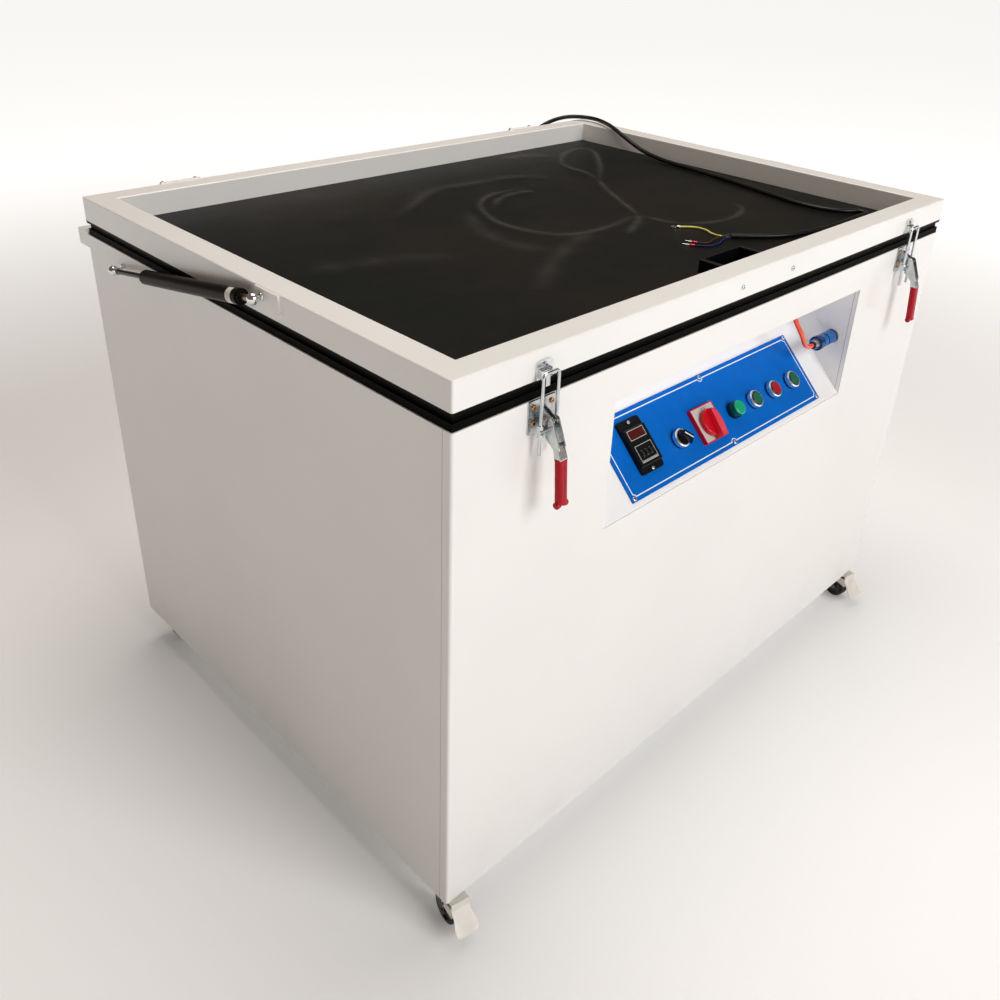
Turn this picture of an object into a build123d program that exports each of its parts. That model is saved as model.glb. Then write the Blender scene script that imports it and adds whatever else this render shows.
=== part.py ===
from build123d import *
import math
import os

# A free-standing UV exposure unit for screen printing frames: a sheet-steel cabinet on four
# castors, a glass bed, and a hinged vacuum lid with a rubber blanket and two draw latches.
# Millimetres. The origin is on the floor under the middle of the cabinet, +Z is up and the
# front, with the controls and the latches, faces -Y.

# ---- driving dimensions ---------------------------------------------------------------
WIDTH = 1200.0
DEPTH = 890.0
CASTOR_HEIGHT = 70.0
CABINET_HEIGHT = 761.0
SHEET = 2.0
FRONT_FOLD = 15.0
CORNER_RADIUS = 4.0

SEAL_HEIGHT = 18.8
SEAL_GAP = 0.4
CLAMP_THICKNESS = 3.0
BLANKET_THICKNESS = 1.8
LID_RAIL_WIDTH = 40.0
LID_RAIL_HEIGHT = 38.0

GLASS_THICKNESS = 8.0
GLASS_HALF_X = 549.5
GLASS_HALF_Y = 389.5
FRAME_TUBE = 25.0

RECESS_HALF_X = 323.0
RECESS_BOTTOM = 584.5
RECESS_TOP = 781.0
SLOPE_LENGTH = 167.0

HINGE_Y = 451.0
HINGE_Z = 841.0
HINGE_CENTRES = (-430.0, 395.0)
HINGE_KNUCKLE_RADIUS = 5.5
HINGE_PIN_RADIUS = 3.0
RAIL_DEPTH = 37.0
RAIL_BOTTOM = 808.0
RAIL_TOP = 835.0

STRUT_X = 616.0
STRUT_LOWER = (326.0, 805.0)
STRUT_UPPER = (-87.0, 881.0)
STRUT_TUBE_RADIUS = 11.0
STRUT_BORE_RADIUS = 10.2
STRUT_ROD_RADIUS = 4.0
BALL_RADIUS = 5.0
SOCKET_RADIUS = 8.0

LATCH_X = 462.0
LATCH_PIVOT = (-464.0, 808.0)
BOW_PIVOT = (-457.5, 795.3)
BOW_LEG_OFFSET = 13.0
BOW_WIRE_RADIUS = 2.25
BOW_TOP = 867.5
BOW_LEG_END = 764.0

CASTOR_X = 572.0
CASTOR_Y = 404.0
CASTOR_TRAIL = 20.0
WHEEL_RADIUS = 25.0
WHEEL_WIDTH = 20.0
FRONT_LEFT_TURN = -10.0
FRONT_RIGHT_TURN = -10.0

RUNNING_FIT = 0.05

CORD_DIAMETER = 9.0
WIRE_DIAMETER = 3.0
HOSE_DIAMETER = 8.0
RUN_SHARE = 0.45

# ---- levels and faces worked out from them --------------------------------------------
HALF_X = WIDTH / 2
HALF_Y = DEPTH / 2
FRONT = -HALF_Y
CABINET_TOP = CASTOR_HEIGHT + CABINET_HEIGHT
SEAL_TOP = CABINET_TOP + SEAL_HEIGHT
CLAMP_BOTTOM = SEAL_TOP + SEAL_GAP
BLANKET_BOTTOM = CLAMP_BOTTOM + CLAMP_THICKNESS
LID_BOTTOM = BLANKET_BOTTOM + BLANKET_THICKNESS
LID_TOP = LID_BOTTOM + LID_RAIL_HEIGHT
STRUT_LENGTH = math.dist(STRUT_LOWER, STRUT_UPPER)

# ---- the cord, in four stretches, each a list of points chosen by hand ------------------
CORD_ROOT_ROUTE = [
    (200, 490.7, 330),
    (200, 522, 330),
    (203, 551, 305),
    (207, 556, 258),
    (209, 554, 205),
    (227, 551, 163),
    (263, 548, 148),
    (299, 545, 168),
    (316, 541, 218),
    (320, 538, 300),
    (318, 534, 410),
    (312, 530, 530),
    (306, 527, 640),
    (307, 522, 730),
    (324, 517, 797),
    (362, 512, 838),
    (410, 512, 838),
]
CORD_LID_ROUTE = [
    (410, 512, 838),
    (446, 512, 838),
    (484, 500, 864),
    (519, 477, 890),
    (549, 452, 902),
    (581, 430, 902),
    (590, 394, 901.5),
    (573, 351, 901.5),
    (552, 311, 901),
    (543, 262, 885),
    (539, 207, 866),
    (528, 140, 860),
    (516, 50, 860),
    (501, -48, 860),
    (478, -145, 860),
    (458, -225, 860),
    (460, -275, 860),
    (474, -309, 860),
    (506, -327, 860),
    (506, -349, 860),
    (464, -347.5, 860),
    (390, -350.5, 860),
    (310, -344.5, 860),
    (250, -328.5, 860),
    (207, -300, 860),
    (173, -271, 860),
]
EARTH_WIRE_ROUTE = [
    (174.1, -269.7, 859.1),
    (164, -262, 858.4),
    (165, -240, 857),
    (179, -217, 857),
    (176, -193, 857),
    (156, -179, 857),
]
LIVE_WIRE_ROUTE = [
    (173, -271, 861.9),
    (161, -261, 860),
    (139, -259, 857),
    (119, -263, 857),
    (105, -257, 857),
    (100, -246, 857),
]
NEUTRAL_WIRE_ROUTE = [
    (171.9, -272.3, 859.1),
    (158, -267, 857.4),
    (138, -276, 857),
    (116, -280, 857),
    (98, -272, 857),
    (91, -260, 857),
]
HOSE_ROUTE = [
    (254, -412, 686),
    (241, -412, 686),
    (227, -412, 694),
    (215.5, -410, 714),
    (207, -398, 737),
    (203, -387, 764),
    (206, -358, 787),
    (215, -312, 778),
    (228, -266, 725),
    (243, -245, 630),
    (252, -240, 530),
    (257, -239, 430),
    (260, -240, 330),
    (260, -240, 216),
]


# ---- helpers ----------------------------------------------------------------------------
def block(x0, x1, y0, y1, z0, z1):
    """A box between two corners."""
    centre = ((x0 + x1) / 2, (y0 + y1) / 2, (z0 + z1) / 2)
    return Pos(*centre) * Box(abs(x1 - x0), abs(y1 - y0), abs(z1 - z0))


def rod_between(start, end, radius):
    """A round bar from one point to another."""
    line = Vector(*end) - Vector(*start)
    plane = Plane(origin=start, z_dir=line)
    return plane.location * Cylinder(radius, line.length, align=(Align.CENTER, Align.CENTER, Align.MIN))


def bar_x(x0, x1, y, z, radius):
    """A round bar along X."""
    return rod_between((min(x0, x1), y, z), (max(x0, x1), y, z), radius)


def bar_y(x, y0, y1, z, radius):
    """A round bar along Y."""
    return rod_between((x, min(y0, y1), z), (x, max(y0, y1), z), radius)


def bar_z(x, y, z0, z1, radius):
    """A round bar along Z."""
    return rod_between((x, y, min(z0, z1)), (x, y, max(z0, z1)), radius)


def ball(x, y, z, radius):
    """A ball with its seam turned away from the bars along X that meet it."""
    return Pos(x, y, z) * Rot(0, 0, 90) * Sphere(radius)


def ball_stud(side, start, centre, collar_radius):
    """A ball on a short shank with a domed collar, which stands on a side face at X = start."""
    y, z = centre
    collar_end = start + 3.5
    collar = bar_x(side * start, side * collar_end, y, z, collar_radius)
    collar = fillet(collar.edges().group_by(Axis.X)[-1 if side > 0 else 0], 2.5)
    shank = bar_x(side * collar_end, side * STRUT_X, y, z, 2.8)
    return collar + shank + ball(side * STRUT_X, y, z, BALL_RADIUS)


def slab_yz(x0, x1, points):
    """A plate with an outline given by (y, z) points, thick along X."""
    face = Face(Polyline(*[(min(x0, x1), y, z) for y, z in points], close=True))
    return extrude(face, amount=abs(x1 - x0), dir=(1, 0, 0))


def hull_yz(x0, x1, circles):
    """A plate along X whose outline is the hull of circles given as (y, z, radius)."""
    plane = Plane(origin=(min(x0, x1), 0, 0), x_dir=(0, 1, 0), z_dir=(1, 0, 0))
    edges = [(Pos(y, z) * Circle(radius)).edges()[0] for y, z, radius in circles]
    return extrude(plane.location * make_hull(edges), amount=abs(x1 - x0), dir=(1, 0, 0))


def ring(half_x, half_y, width_x, width_y, z0, z1):
    """A rectangular ring round the middle of the cabinet."""
    inner = block(-half_x + width_x, half_x - width_x, -half_y + width_y, half_y - width_y, z0, z1)
    return block(-half_x, half_x, -half_y, half_y, z0, z1) - inner


def corner_radii(points):
    """The arc at each point of a route: 0.45 of the shorter run over the tangent of half the turn."""
    radii = []
    for before, here, after in zip(points, points[1:], points[2:]):
        run_in = Vector(*here) - Vector(*before)
        run_out = Vector(*after) - Vector(*here)
        half_turn = math.radians(run_in.get_angle(run_out)) / 2
        radii.append(RUN_SHARE * min(run_in.length, run_out.length) / math.tan(half_turn))
    return radii


def tube(name, points, diameter):
    """A round tube along straight runs joined by tangent arcs."""
    radii = corner_radii(points)
    path = FilletPolyline(*points, radius=radii)
    start = Plane(origin=points[0], z_dir=Vector(*points[1]) - Vector(*points[0]))
    solid = sweep(start.location * Circle(diameter / 2), path=path)
    expected = math.pi * diameter**2 / 4 * path.length
    print(f"{name}: length {path.length:.0f} mm, volume {solid.volume / expected:.4f} of section x length,")
    print("   radii", [round(radius, 1) for radius in radii])
    return solid


def save(name, *solids):
    """Write one node, as one solid or as a group of separate solids."""
    shape = solids[0] if len(solids) == 1 else Compound(children=list(solids))
    export_step(shape, f"parts/{name}.step")


# The control panel's own plane: X across, local Y up the slope, local Z out of the panel.
COS45 = math.cos(math.radians(45))
PANEL = Plane(origin=(0, FRONT, RECESS_BOTTOM), x_dir=(1, 0, 0), z_dir=(0, -COS45, COS45)).location

PLATE_THICKNESS = 2.0
PLATE_X = (-252.0, 264.0)
PLATE_S = (10.0, 137.0)
CONTROL_S = 60.0
SELECTOR_X = -105.6
SELECTOR_REST = -138.0
SWITCH_X = -32.0
INDICATOR_X = 39.4
BUTTONS = {"start_button": 97.0, "stop_button": 154.3, "exposure_button": 212.0}
NECK_RADIUS = 10.5
NECK_HOLE_RADIUS = 11.0
BEZEL_RADIUS = 14.75
BEZEL_TOP = 13.0
CAP_RADIUS = 10.9
TIMER_X = (-212.0, -162.0)
TIMER_S = (37.4, 121.4)
TIMER_MIDDLE = sum(TIMER_X) / 2
TIMER_FLANGE_TOP = PLATE_THICKNESS + 4
TIMER_BODY_HALF_X = 22.0
TIMER_BODY_S = (50.0, 109.0)
THUMBWHEEL_S = 66.0
THUMBWHEEL_N = 4.0
THUMBWHEEL_RADIUS = 8.5
THUMBWHEEL_PITCH = 9.0
THUMBWHEEL_WIDTH = 6.0


def panel_openings():
    """What passes through the control plate and the slope behind it."""
    cutters = []
    for x in (SELECTOR_X, INDICATOR_X, *BUTTONS.values()):
        cutters.append(PANEL * bar_z(x, CONTROL_S, -30, 30, NECK_HOLE_RADIUS))
    cutters.append(PANEL * bar_z(SWITCH_X, CONTROL_S, -30, 30, NECK_HOLE_RADIUS))
    half, low, high = TIMER_BODY_HALF_X + 0.5, TIMER_BODY_S[0] - 0.5, TIMER_BODY_S[1] + 0.5
    cutters.append(PANEL * block(TIMER_MIDDLE - half, TIMER_MIDDLE + half, low, high, -30, 30))
    return cutters


# ---- cabinet ------------------------------------------------------------------------------
def front_panel():
    """The front sheet, folded back round both corners, with the opening of the control recess."""
    back, inner_x = FRONT + FRONT_FOLD, HALF_X - SHEET
    outer = block(-HALF_X, HALF_X, FRONT, back, CASTOR_HEIGHT, CABINET_TOP)
    corners = outer.edges().filter_by(Axis.Z).group_by(Axis.Y)[0]
    outer = fillet(corners, CORNER_RADIUS)
    inner = block(-inner_x, inner_x, FRONT + SHEET, back, CASTOR_HEIGHT, CABINET_TOP)
    opening = block(-RECESS_HALF_X, RECESS_HALF_X, FRONT, FRONT + SHEET, RECESS_BOTTOM, RECESS_TOP)
    return outer - inner - opening


def side_panel(side):
    """One flat side sheet, butted to the fold of the front sheet."""
    inner, outer = side * (HALF_X - SHEET), side * HALF_X
    return block(inner, outer, FRONT + FRONT_FOLD, HALF_Y - SHEET, CASTOR_HEIGHT, CABINET_TOP)


def rear_panel():
    """The rear sheet, with two banks of vent slots and the cord's hole."""
    panel = block(-HALF_X, HALF_X, HALF_Y - SHEET, HALF_Y, CASTOR_HEIGHT, CABINET_TOP)
    slot_half, slot_height, slot_pitch = 90.0, 8.0, 22.0
    for middle in (-330.0, 330.0):
        for number in range(7):
            z = 560.0 + number * slot_pitch
            panel -= block(middle - slot_half, middle + slot_half, HALF_Y - SHEET, HALF_Y, z, z + slot_height)
    return panel - bar_y(CORD_ROOT_ROUTE[0][0], HALF_Y - SHEET, HALF_Y, CORD_ROOT_ROUTE[0][2], 8.0)


def bottom_panel():
    """The floor of the cabinet."""
    return block(
        -HALF_X + SHEET, HALF_X - SHEET, FRONT + SHEET, HALF_Y - SHEET, CASTOR_HEIGHT, CASTOR_HEIGHT + SHEET
    )


def top_rim():
    """The top sheet round the glass, with a wall and a ledge that carry the glass."""
    lip_top = CABINET_TOP - GLASS_THICKNESS
    x, y = HALF_X - SHEET, HALF_Y - SHEET
    rim = ring(x, y, x - 550, y - 390, CABINET_TOP - SHEET, CABINET_TOP)
    rim += ring(552, 392, 2, 2, lip_top - SHEET, CABINET_TOP - SHEET)
    rim += ring(552, 392, 22, 22, lip_top - SHEET, lip_top)
    return rim


def glass_plate():
    """The glass bed that the screen lies on, level with the rim."""
    glass = block(
        -GLASS_HALF_X, GLASS_HALF_X, -GLASS_HALF_Y, GLASS_HALF_Y, CABINET_TOP - GLASS_THICKNESS, CABINET_TOP
    )
    return chamfer(glass.edges().group_by(Axis.Z)[-1], 0.8)


def inner_frame():
    """The welded square-tube frame inside the sheets."""
    wall = 2.0
    low, high = CASTOR_HEIGHT + SHEET, CABINET_TOP - GLASS_THICKNESS - SHEET
    x, y, size = HALF_X - SHEET, HALF_Y - SHEET, FRAME_TUBE
    frame = None
    hollow = None
    for z in (low, high - size):
        rails = ring(x, y, size, size, z, z + size)
        bores = ring(x - wall, y - wall, size - 2 * wall, size - 2 * wall, z + wall, z + size - wall)
        frame = rails if frame is None else frame + rails
        hollow = bores if hollow is None else hollow + bores
    for side_x in (-1, 1):
        for side_y in (-1, 1):
            frame += block(side_x * (x - size), side_x * x, side_y * (y - size), side_y * y, low, high)
            hollow += block(
                side_x * (x - size + wall),
                side_x * (x - wall),
                side_y * (y - size + wall),
                side_y * (y - wall),
                low,
                high - wall,
            )
    return frame - hollow


def rim_seal():
    """The rubber seal that stands on the rim, in two steps."""
    step = 10.0
    seal = ring(HALF_X - 2, HALF_Y - 2, 36, 36, CABINET_TOP, CABINET_TOP + step)
    return seal + ring(HALF_X - 5, HALF_Y - 5, 28, 28, CABINET_TOP + step, SEAL_TOP)


def wedge(half_x, clearance):
    """The control recess as a three-sided prism, its slope and its roof moved out by clearance."""
    slope_top_y = FRONT + SLOPE_LENGTH * COS45
    slope_top_z = RECESS_BOTTOM + SLOPE_LENGTH * COS45
    face_y = FRONT + SHEET
    roof = Vector(0, face_y - slope_top_y, RECESS_TOP - slope_top_z)
    roof_slope = roof.Z / -roof.Y
    roof_normal = math.hypot(1, roof_slope)
    # the slope is z = y + c, the roof is z = roof_slope * (slope_top_y - y) + d
    slope_c = RECESS_BOTTOM - FRONT - clearance / COS45
    roof_d = slope_top_z + clearance * roof_normal
    back_y = (roof_d + roof_slope * slope_top_y - slope_c) / (1 + roof_slope)
    points = [
        (face_y, face_y + slope_c),
        (back_y, back_y + slope_c),
        (face_y, roof_slope * (slope_top_y - face_y) + roof_d),
    ]
    return slab_yz(-half_x, half_x, points)


def control_recess():
    """The slanted pocket that the control plate sits in: slope, roof and two cheeks."""
    recess = wedge(RECESS_HALF_X + SHEET, SHEET) - wedge(RECESS_HALF_X, 0)
    for cutter in panel_openings():
        recess -= cutter
    recess -= bar_z(204.6, -392.5, 735, 775, 8.0)
    return recess


def control_plate():
    """The blue control plate on the slope."""
    plate = block(*PLATE_X, *PLATE_S, 0, PLATE_THICKNESS)
    plate = PANEL * fillet(plate.edges().filter_by(Axis.Z), 2.0)
    for cutter in panel_openings():
        plate -= cutter
    return plate


def bezel(x):
    """A chrome ring with a closed neck behind it."""
    body = bar_z(x, CONTROL_S, PLATE_THICKNESS, BEZEL_TOP, BEZEL_RADIUS)
    body = chamfer(body.edges().group_by(Axis.Z)[-1], 1.5)
    body -= bar_z(x, CONTROL_S, PLATE_THICKNESS + 1, BEZEL_TOP, CAP_RADIUS + 2 * RUNNING_FIT)
    return PANEL * (body + bar_z(x, CONTROL_S, -24, PLATE_THICKNESS + 1, NECK_RADIUS))


def push_button(x):
    """A flat button cap that slides in its bezel."""
    cap = bar_z(x, CONTROL_S, PLATE_THICKNESS + 5, BEZEL_TOP + 1.2, CAP_RADIUS)
    return PANEL * fillet(cap.edges().group_by(Axis.Z)[-1], 1.0)


def selector_knob():
    """A short black knob with a lever across it, whose tip slants down."""
    knob = bar_z(SELECTOR_X, CONTROL_S, PLATE_THICKNESS + 2, BEZEL_TOP + 1, CAP_RADIUS)
    lever = block(-4.5, 4.5, -10, 15, BEZEL_TOP + 0.4, BEZEL_TOP + 12)
    lever = chamfer(lever.edges().group_by(Axis.Z)[-1].sort_by(Axis.Y)[-1], 8.0, 5.0)
    lever = fillet(lever.edges().filter_by(Axis.Z).sort_by(Axis.Y)[:2], 2.5)
    return PANEL * (knob + Pos(SELECTOR_X, CONTROL_S, 0) * Rot(0, 0, SELECTOR_REST) * lever)


def indicator_lamp():
    """A black collar and neck, and the green lens over it, as two solids."""
    collar = bar_z(INDICATOR_X, CONTROL_S, PLATE_THICKNESS, 8, 14.0)
    collar += bar_z(INDICATOR_X, CONTROL_S, -24, PLATE_THICKNESS, NECK_RADIUS)
    lens = bar_z(INDICATOR_X, CONTROL_S, 8, 20, 12.5)
    lens = fillet(lens.edges().group_by(Axis.Z)[-1], 3.0)
    return PANEL * collar, PANEL * lens


SWITCH_BASE_X, SWITCH_BASE_S = 57.0, 59.0
SWITCH_BASE_TOP = PLATE_THICKNESS + 7.5
SWITCH_DISC_TOP = SWITCH_BASE_TOP + 8


def main_switch_base():
    """The square base of the main switch, with a raised rim, a sunk face and a shaft bush."""
    place = Pos(SWITCH_X - 1, CONTROL_S + 1.5, 0)
    half_x, half_s = SWITCH_BASE_X / 2, SWITCH_BASE_S / 2
    rim, face = 1.8, SWITCH_BASE_TOP - 0.6
    base = block(-half_x, half_x, -half_s, half_s, PLATE_THICKNESS, SWITCH_BASE_TOP)
    base = fillet(base.edges().filter_by(Axis.Z), 3.5)
    base -= block(-half_x + rim, half_x - rim, -half_s + rim, half_s - rim, face, SWITCH_BASE_TOP)
    base = place * base + bar_z(SWITCH_X, CONTROL_S, -24, PLATE_THICKNESS, NECK_RADIUS)
    return PANEL * (base - bar_z(SWITCH_X, CONTROL_S, 2, SWITCH_BASE_TOP, 4.0 + RUNNING_FIT))


def main_switch_handle():
    """The big turning handle: a round disc and a wedge-shaped grip that reaches past its edge."""
    disc = bar_z(0, 0, SWITCH_BASE_TOP + 0.4, SWITCH_DISC_TOP, 22.3)
    disc = fillet(disc.edges().group_by(Axis.Z)[-1], 2.5)
    corners = [(-7, -27), (12.5, -27), (18, -10), (19.5, 2), (17, 11), (9, 18.5), (0, 20.5)]
    outline = Pos(0, 0, SWITCH_BASE_TOP + 2) * Polygon(*corners, align=None)
    grip = extrude(outline, amount=22, dir=(0, 0, 1))
    above = Box(80, 80, 30, align=(Align.CENTER, Align.CENTER, Align.MIN))
    grip -= Pos(-8, 0, SWITCH_DISC_TOP + 10.5) * Rot(0, 19, 0) * above
    grip = fillet(grip.edges().filter_by(Axis.Z), 1.8)
    shaft = bar_z(0, 0, 3, SWITCH_BASE_TOP + 2, 4.0)
    return PANEL * Pos(SWITCH_X, CONTROL_S, 0) * (disc + grip + shaft)


def thumbwheel_x(number):
    """The middle of one of the timer's three thumbwheels."""
    return TIMER_MIDDLE + (number - 1) * THUMBWHEEL_PITCH


def timer_housing():
    """The timer: a flange with two ears, a raised front and the body behind the plate."""
    top = TIMER_FLANGE_TOP
    front = top + 5
    housing = block(*TIMER_X, *TIMER_S, PLATE_THICKNESS, top)
    housing = fillet(housing.edges().filter_by(Axis.Z), 5.0)
    raised = block(TIMER_X[0] + 0.5, TIMER_X[1] - 0.5, TIMER_S[0] + 10.5, TIMER_S[1] - 14.5, top, front)
    housing += chamfer(raised.edges().group_by(Axis.Z)[-1], 1.0)
    half = TIMER_BODY_HALF_X
    housing += block(TIMER_MIDDLE - half, TIMER_MIDDLE + half, *TIMER_BODY_S, -55, PLATE_THICKNESS)
    for number in range(3):
        x = thumbwheel_x(number)
        half_slot = THUMBWHEEL_WIDTH / 2 + 0.3
        room = THUMBWHEEL_RADIUS + 0.5
        housing -= bar_x(x - half_slot, x + half_slot, THUMBWHEEL_S, THUMBWHEEL_N, room)
    axle_reach = THUMBWHEEL_PITCH + THUMBWHEEL_WIDTH / 2 + 1
    housing += bar_x(TIMER_MIDDLE - axle_reach, TIMER_MIDDLE + axle_reach, THUMBWHEEL_S, THUMBWHEEL_N, 1.5)
    return PANEL * housing


def thumbwheel(number):
    """One toothed digit wheel of the timer, on the housing's axle."""
    x = thumbwheel_x(number)
    half = THUMBWHEEL_WIDTH / 2
    wheel = bar_x(x - half, x + half, THUMBWHEEL_S, THUMBWHEEL_N, THUMBWHEEL_RADIUS)
    for tooth in range(10):
        angle = math.radians(36 * tooth)
        s = THUMBWHEEL_S + THUMBWHEEL_RADIUS * math.cos(angle)
        n = THUMBWHEEL_N + THUMBWHEEL_RADIUS * math.sin(angle)
        wheel -= bar_x(x - half, x + half, s, n, 0.7)
    wheel -= bar_x(x - half, x + half, THUMBWHEEL_S, THUMBWHEEL_N, 1.5 + RUNNING_FIT)
    return PANEL * wheel


COUPLER_Y, COUPLER_Z = HOSE_ROUTE[0][1], HOSE_ROUTE[0][2]
COUPLER_END = HOSE_ROUTE[0][0]
SLEEVE_BORE = 8.0


def coupler_body():
    """The quick coupler's washer, core and hose collet, on the recess's right cheek."""
    wall, washer = RECESS_HALF_X, 3.4
    body = bar_x(wall - washer, wall, COUPLER_Y, COUPLER_Z, 12.9)
    body += bar_x(COUPLER_END + 8, wall - washer, COUPLER_Y, COUPLER_Z, SLEEVE_BORE)
    body += bar_x(COUPLER_END + 6, COUPLER_END + 12, COUPLER_Y, COUPLER_Z, 9.0)
    return body + bar_x(COUPLER_END, COUPLER_END + 6, COUPLER_Y, COUPLER_Z, 6.5)


def coupler_sleeve():
    """The sliding sleeve that frees the plug, with a thicker ring in front and two grip grooves."""
    start, end = COUPLER_END + 13, RECESS_HALF_X - 7
    sleeve = bar_x(start, end, COUPLER_Y, COUPLER_Z, 11.8)
    sleeve += bar_x(start, start + 9, COUPLER_Y, COUPLER_Z, 12.6)
    for x in (start + 9, start + 24):
        groove = bar_x(x, x + 3, COUPLER_Y, COUPLER_Z, 13.0) - bar_x(x, x + 3, COUPLER_Y, COUPLER_Z, 10.6)
        sleeve -= groove
    return sleeve - bar_x(start, end, COUPLER_Y, COUPLER_Z, SLEEVE_BORE + RUNNING_FIT)


def hinge_rail():
    """The box rail behind the rim, with the fixed knuckles and pins of both hinges."""
    rail = block(-HALF_X, HALF_X, HALF_Y, HALF_Y + RAIL_DEPTH, RAIL_BOTTOM, RAIL_TOP)
    rail = fillet(rail.edges().filter_by(Axis.X).group_by(Axis.Y)[-1], 3.0)
    for middle in HINGE_CENTRES:
        for side in (-1, 1):
            near, far = middle + side * 12.8, middle + side * 36
            rail += bar_x(near, far, HINGE_Y, HINGE_Z, HINGE_KNUCKLE_RADIUS)
            foot = HINGE_KNUCKLE_RADIUS - 0.5
            rail += block(near, far, HINGE_Y - foot, HINGE_Y + foot, RAIL_TOP, HINGE_Z)
        rail += bar_x(middle - 38, middle + 38, HINGE_Y, HINGE_Z, HINGE_PIN_RADIUS)
    return rail


def latch_base(side):
    """A latch's screwed plate with two lugs and the handle's pin."""
    x = side * LATCH_X
    y, z = LATCH_PIVOT
    plate = block(x - 23, x + 23, FRONT - 2, FRONT, 788, CABINET_TOP)
    plate = fillet(plate.edges().filter_by(Axis.Y), 3.0)
    for offset in (-1, 1):
        inner, outer = x + offset * 2.4, x + offset * 4.0
        plate += slab_yz(inner, outer, [(FRONT - 2, 802), (FRONT - 2, 822), (y, z + 5), (y, z - 5)])
        plate += bar_x(inner, outer, y, z, 5.0)
    plate += bar_x(x - 6.3, x + 6.3, y, z, 2.5)
    for offset in (-15, 15):
        for level in (803, 823):
            head = bar_y(x + offset, FRONT - 4.2, FRONT - 2, level, 3.6)
            plate += fillet(head.edges().group_by(Axis.Y)[0], 1.2)
    return plate


def fasteners():
    """The struts' lower ball studs and the screws of the control plate, the timer and the rear panel."""
    pieces = []
    for side in (-1, 1):
        pieces.append(ball_stud(side, HALF_X, STRUT_LOWER, 7.0))
    middle = sum(PLATE_X) / 2
    for x in (PLATE_X[0] + 6, middle, PLATE_X[1] - 6):
        for s in (PLATE_S[0] + 5, PLATE_S[1] - 5):
            head = bar_z(x, s, PLATE_THICKNESS, PLATE_THICKNESS + 2, 3.5)
            pieces.append(PANEL * fillet(head.edges().group_by(Axis.Z)[-1], 1.2))
    for s in (41.4, 116.2):
        head = bar_z(TIMER_MIDDLE, s, TIMER_FLANGE_TOP, TIMER_FLANGE_TOP + 1.6, 2.7)
        pieces.append(PANEL * fillet(head.edges().group_by(Axis.Z)[-1], 1.0))
    for x in (-570, -190, 190, 570):
        for z in (95, 450, 790):
            head = bar_y(x, HALF_Y, HALF_Y + 2.2, z, 4.5)
            pieces.append(fillet(head.edges().group_by(Axis.Y)[-1], 1.2))
    return pieces


def cable_gland():
    """The gland that the mains cord comes out of, low on the rear panel."""
    x, end, z = CORD_ROOT_ROUTE[0]
    hexagon = Plane(origin=(x, HALF_Y, z), z_dir=(0, 1, 0)).location * RegularPolygon(14, 6)
    gland = extrude(hexagon, amount=8, dir=(0, 1, 0))
    gland += bar_y(x, HALF_Y - 12, HALF_Y, z, 7.8)
    cone = Cone(11, 6.5, end - HALF_Y - 8, align=(Align.CENTER, Align.CENTER, Align.MIN))
    return gland + Plane(origin=(x, HALF_Y + 8, z), z_dir=(0, 1, 0)).location * cone


# ---- inside the cabinet --------------------------------------------------------------------
LAMP_Y = 40.0
LAMP_HALF_X, LAMP_HALF_Y = 180.0, 120.0
LAMP_TOP = 250.0
SHUTTER_AXIS = (LAMP_Y + LAMP_HALF_Y + 6, LAMP_TOP + 5)


def lamp_housing():
    """The reflector trough on its feet, and the ultraviolet lamp across it, as two solids."""
    bottom, wall = 110.0, 1.5
    outer = block(-LAMP_HALF_X, LAMP_HALF_X, LAMP_Y - LAMP_HALF_Y, LAMP_Y + LAMP_HALF_Y, bottom, LAMP_TOP)
    slope = 60.0
    for side in (-1, 1):
        edge = LAMP_Y + side * LAMP_HALF_Y
        points = [(edge, bottom), (edge, LAMP_TOP - 10), (edge - side * slope, bottom)]
        outer -= slab_yz(-LAMP_HALF_X, LAMP_HALF_X, points)
    inner = block(
        -LAMP_HALF_X + wall,
        LAMP_HALF_X - wall,
        LAMP_Y - LAMP_HALF_Y + wall,
        LAMP_Y + LAMP_HALF_Y - wall,
        bottom + wall,
        LAMP_TOP,
    )
    for side in (-1, 1):
        edge = LAMP_Y + side * (LAMP_HALF_Y - wall)
        points = [(edge, bottom), (edge, LAMP_TOP - 10), (edge - side * slope, bottom)]
        inner -= slab_yz(-LAMP_HALF_X, LAMP_HALF_X, points)
    housing = outer - inner
    floor = CASTOR_HEIGHT + SHEET
    for x in (-140, 140):
        housing += block(x - 15, x + 15, LAMP_Y - 50, LAMP_Y + 50, floor, floor + 3)
        housing += block(x - 1.5, x + 1.5, LAMP_Y - 50, LAMP_Y + 50, floor, bottom)
    y, z = SHUTTER_AXIS
    for side in (-1, 1):
        near, far = side * (LAMP_HALF_X - 4), side * (LAMP_HALF_X - 1)
        ear = [(y - 6, LAMP_TOP - 20), (y - 6, z + 5), (y + 5, z + 5), (y + 5, z - 5)]
        housing += slab_yz(near, far, ear)
        housing += bar_x(side * (LAMP_HALF_X - 20), far, y, z, 2.0)
    lamp = bar_x(-LAMP_HALF_X + wall, LAMP_HALF_X - wall, LAMP_Y, 165, 11.0)
    for side in (-1, 1):
        lamp += bar_x(side * (LAMP_HALF_X - wall), side * (LAMP_HALF_X - 30), LAMP_Y, 165, 16.0)
    return housing, lamp


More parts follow.
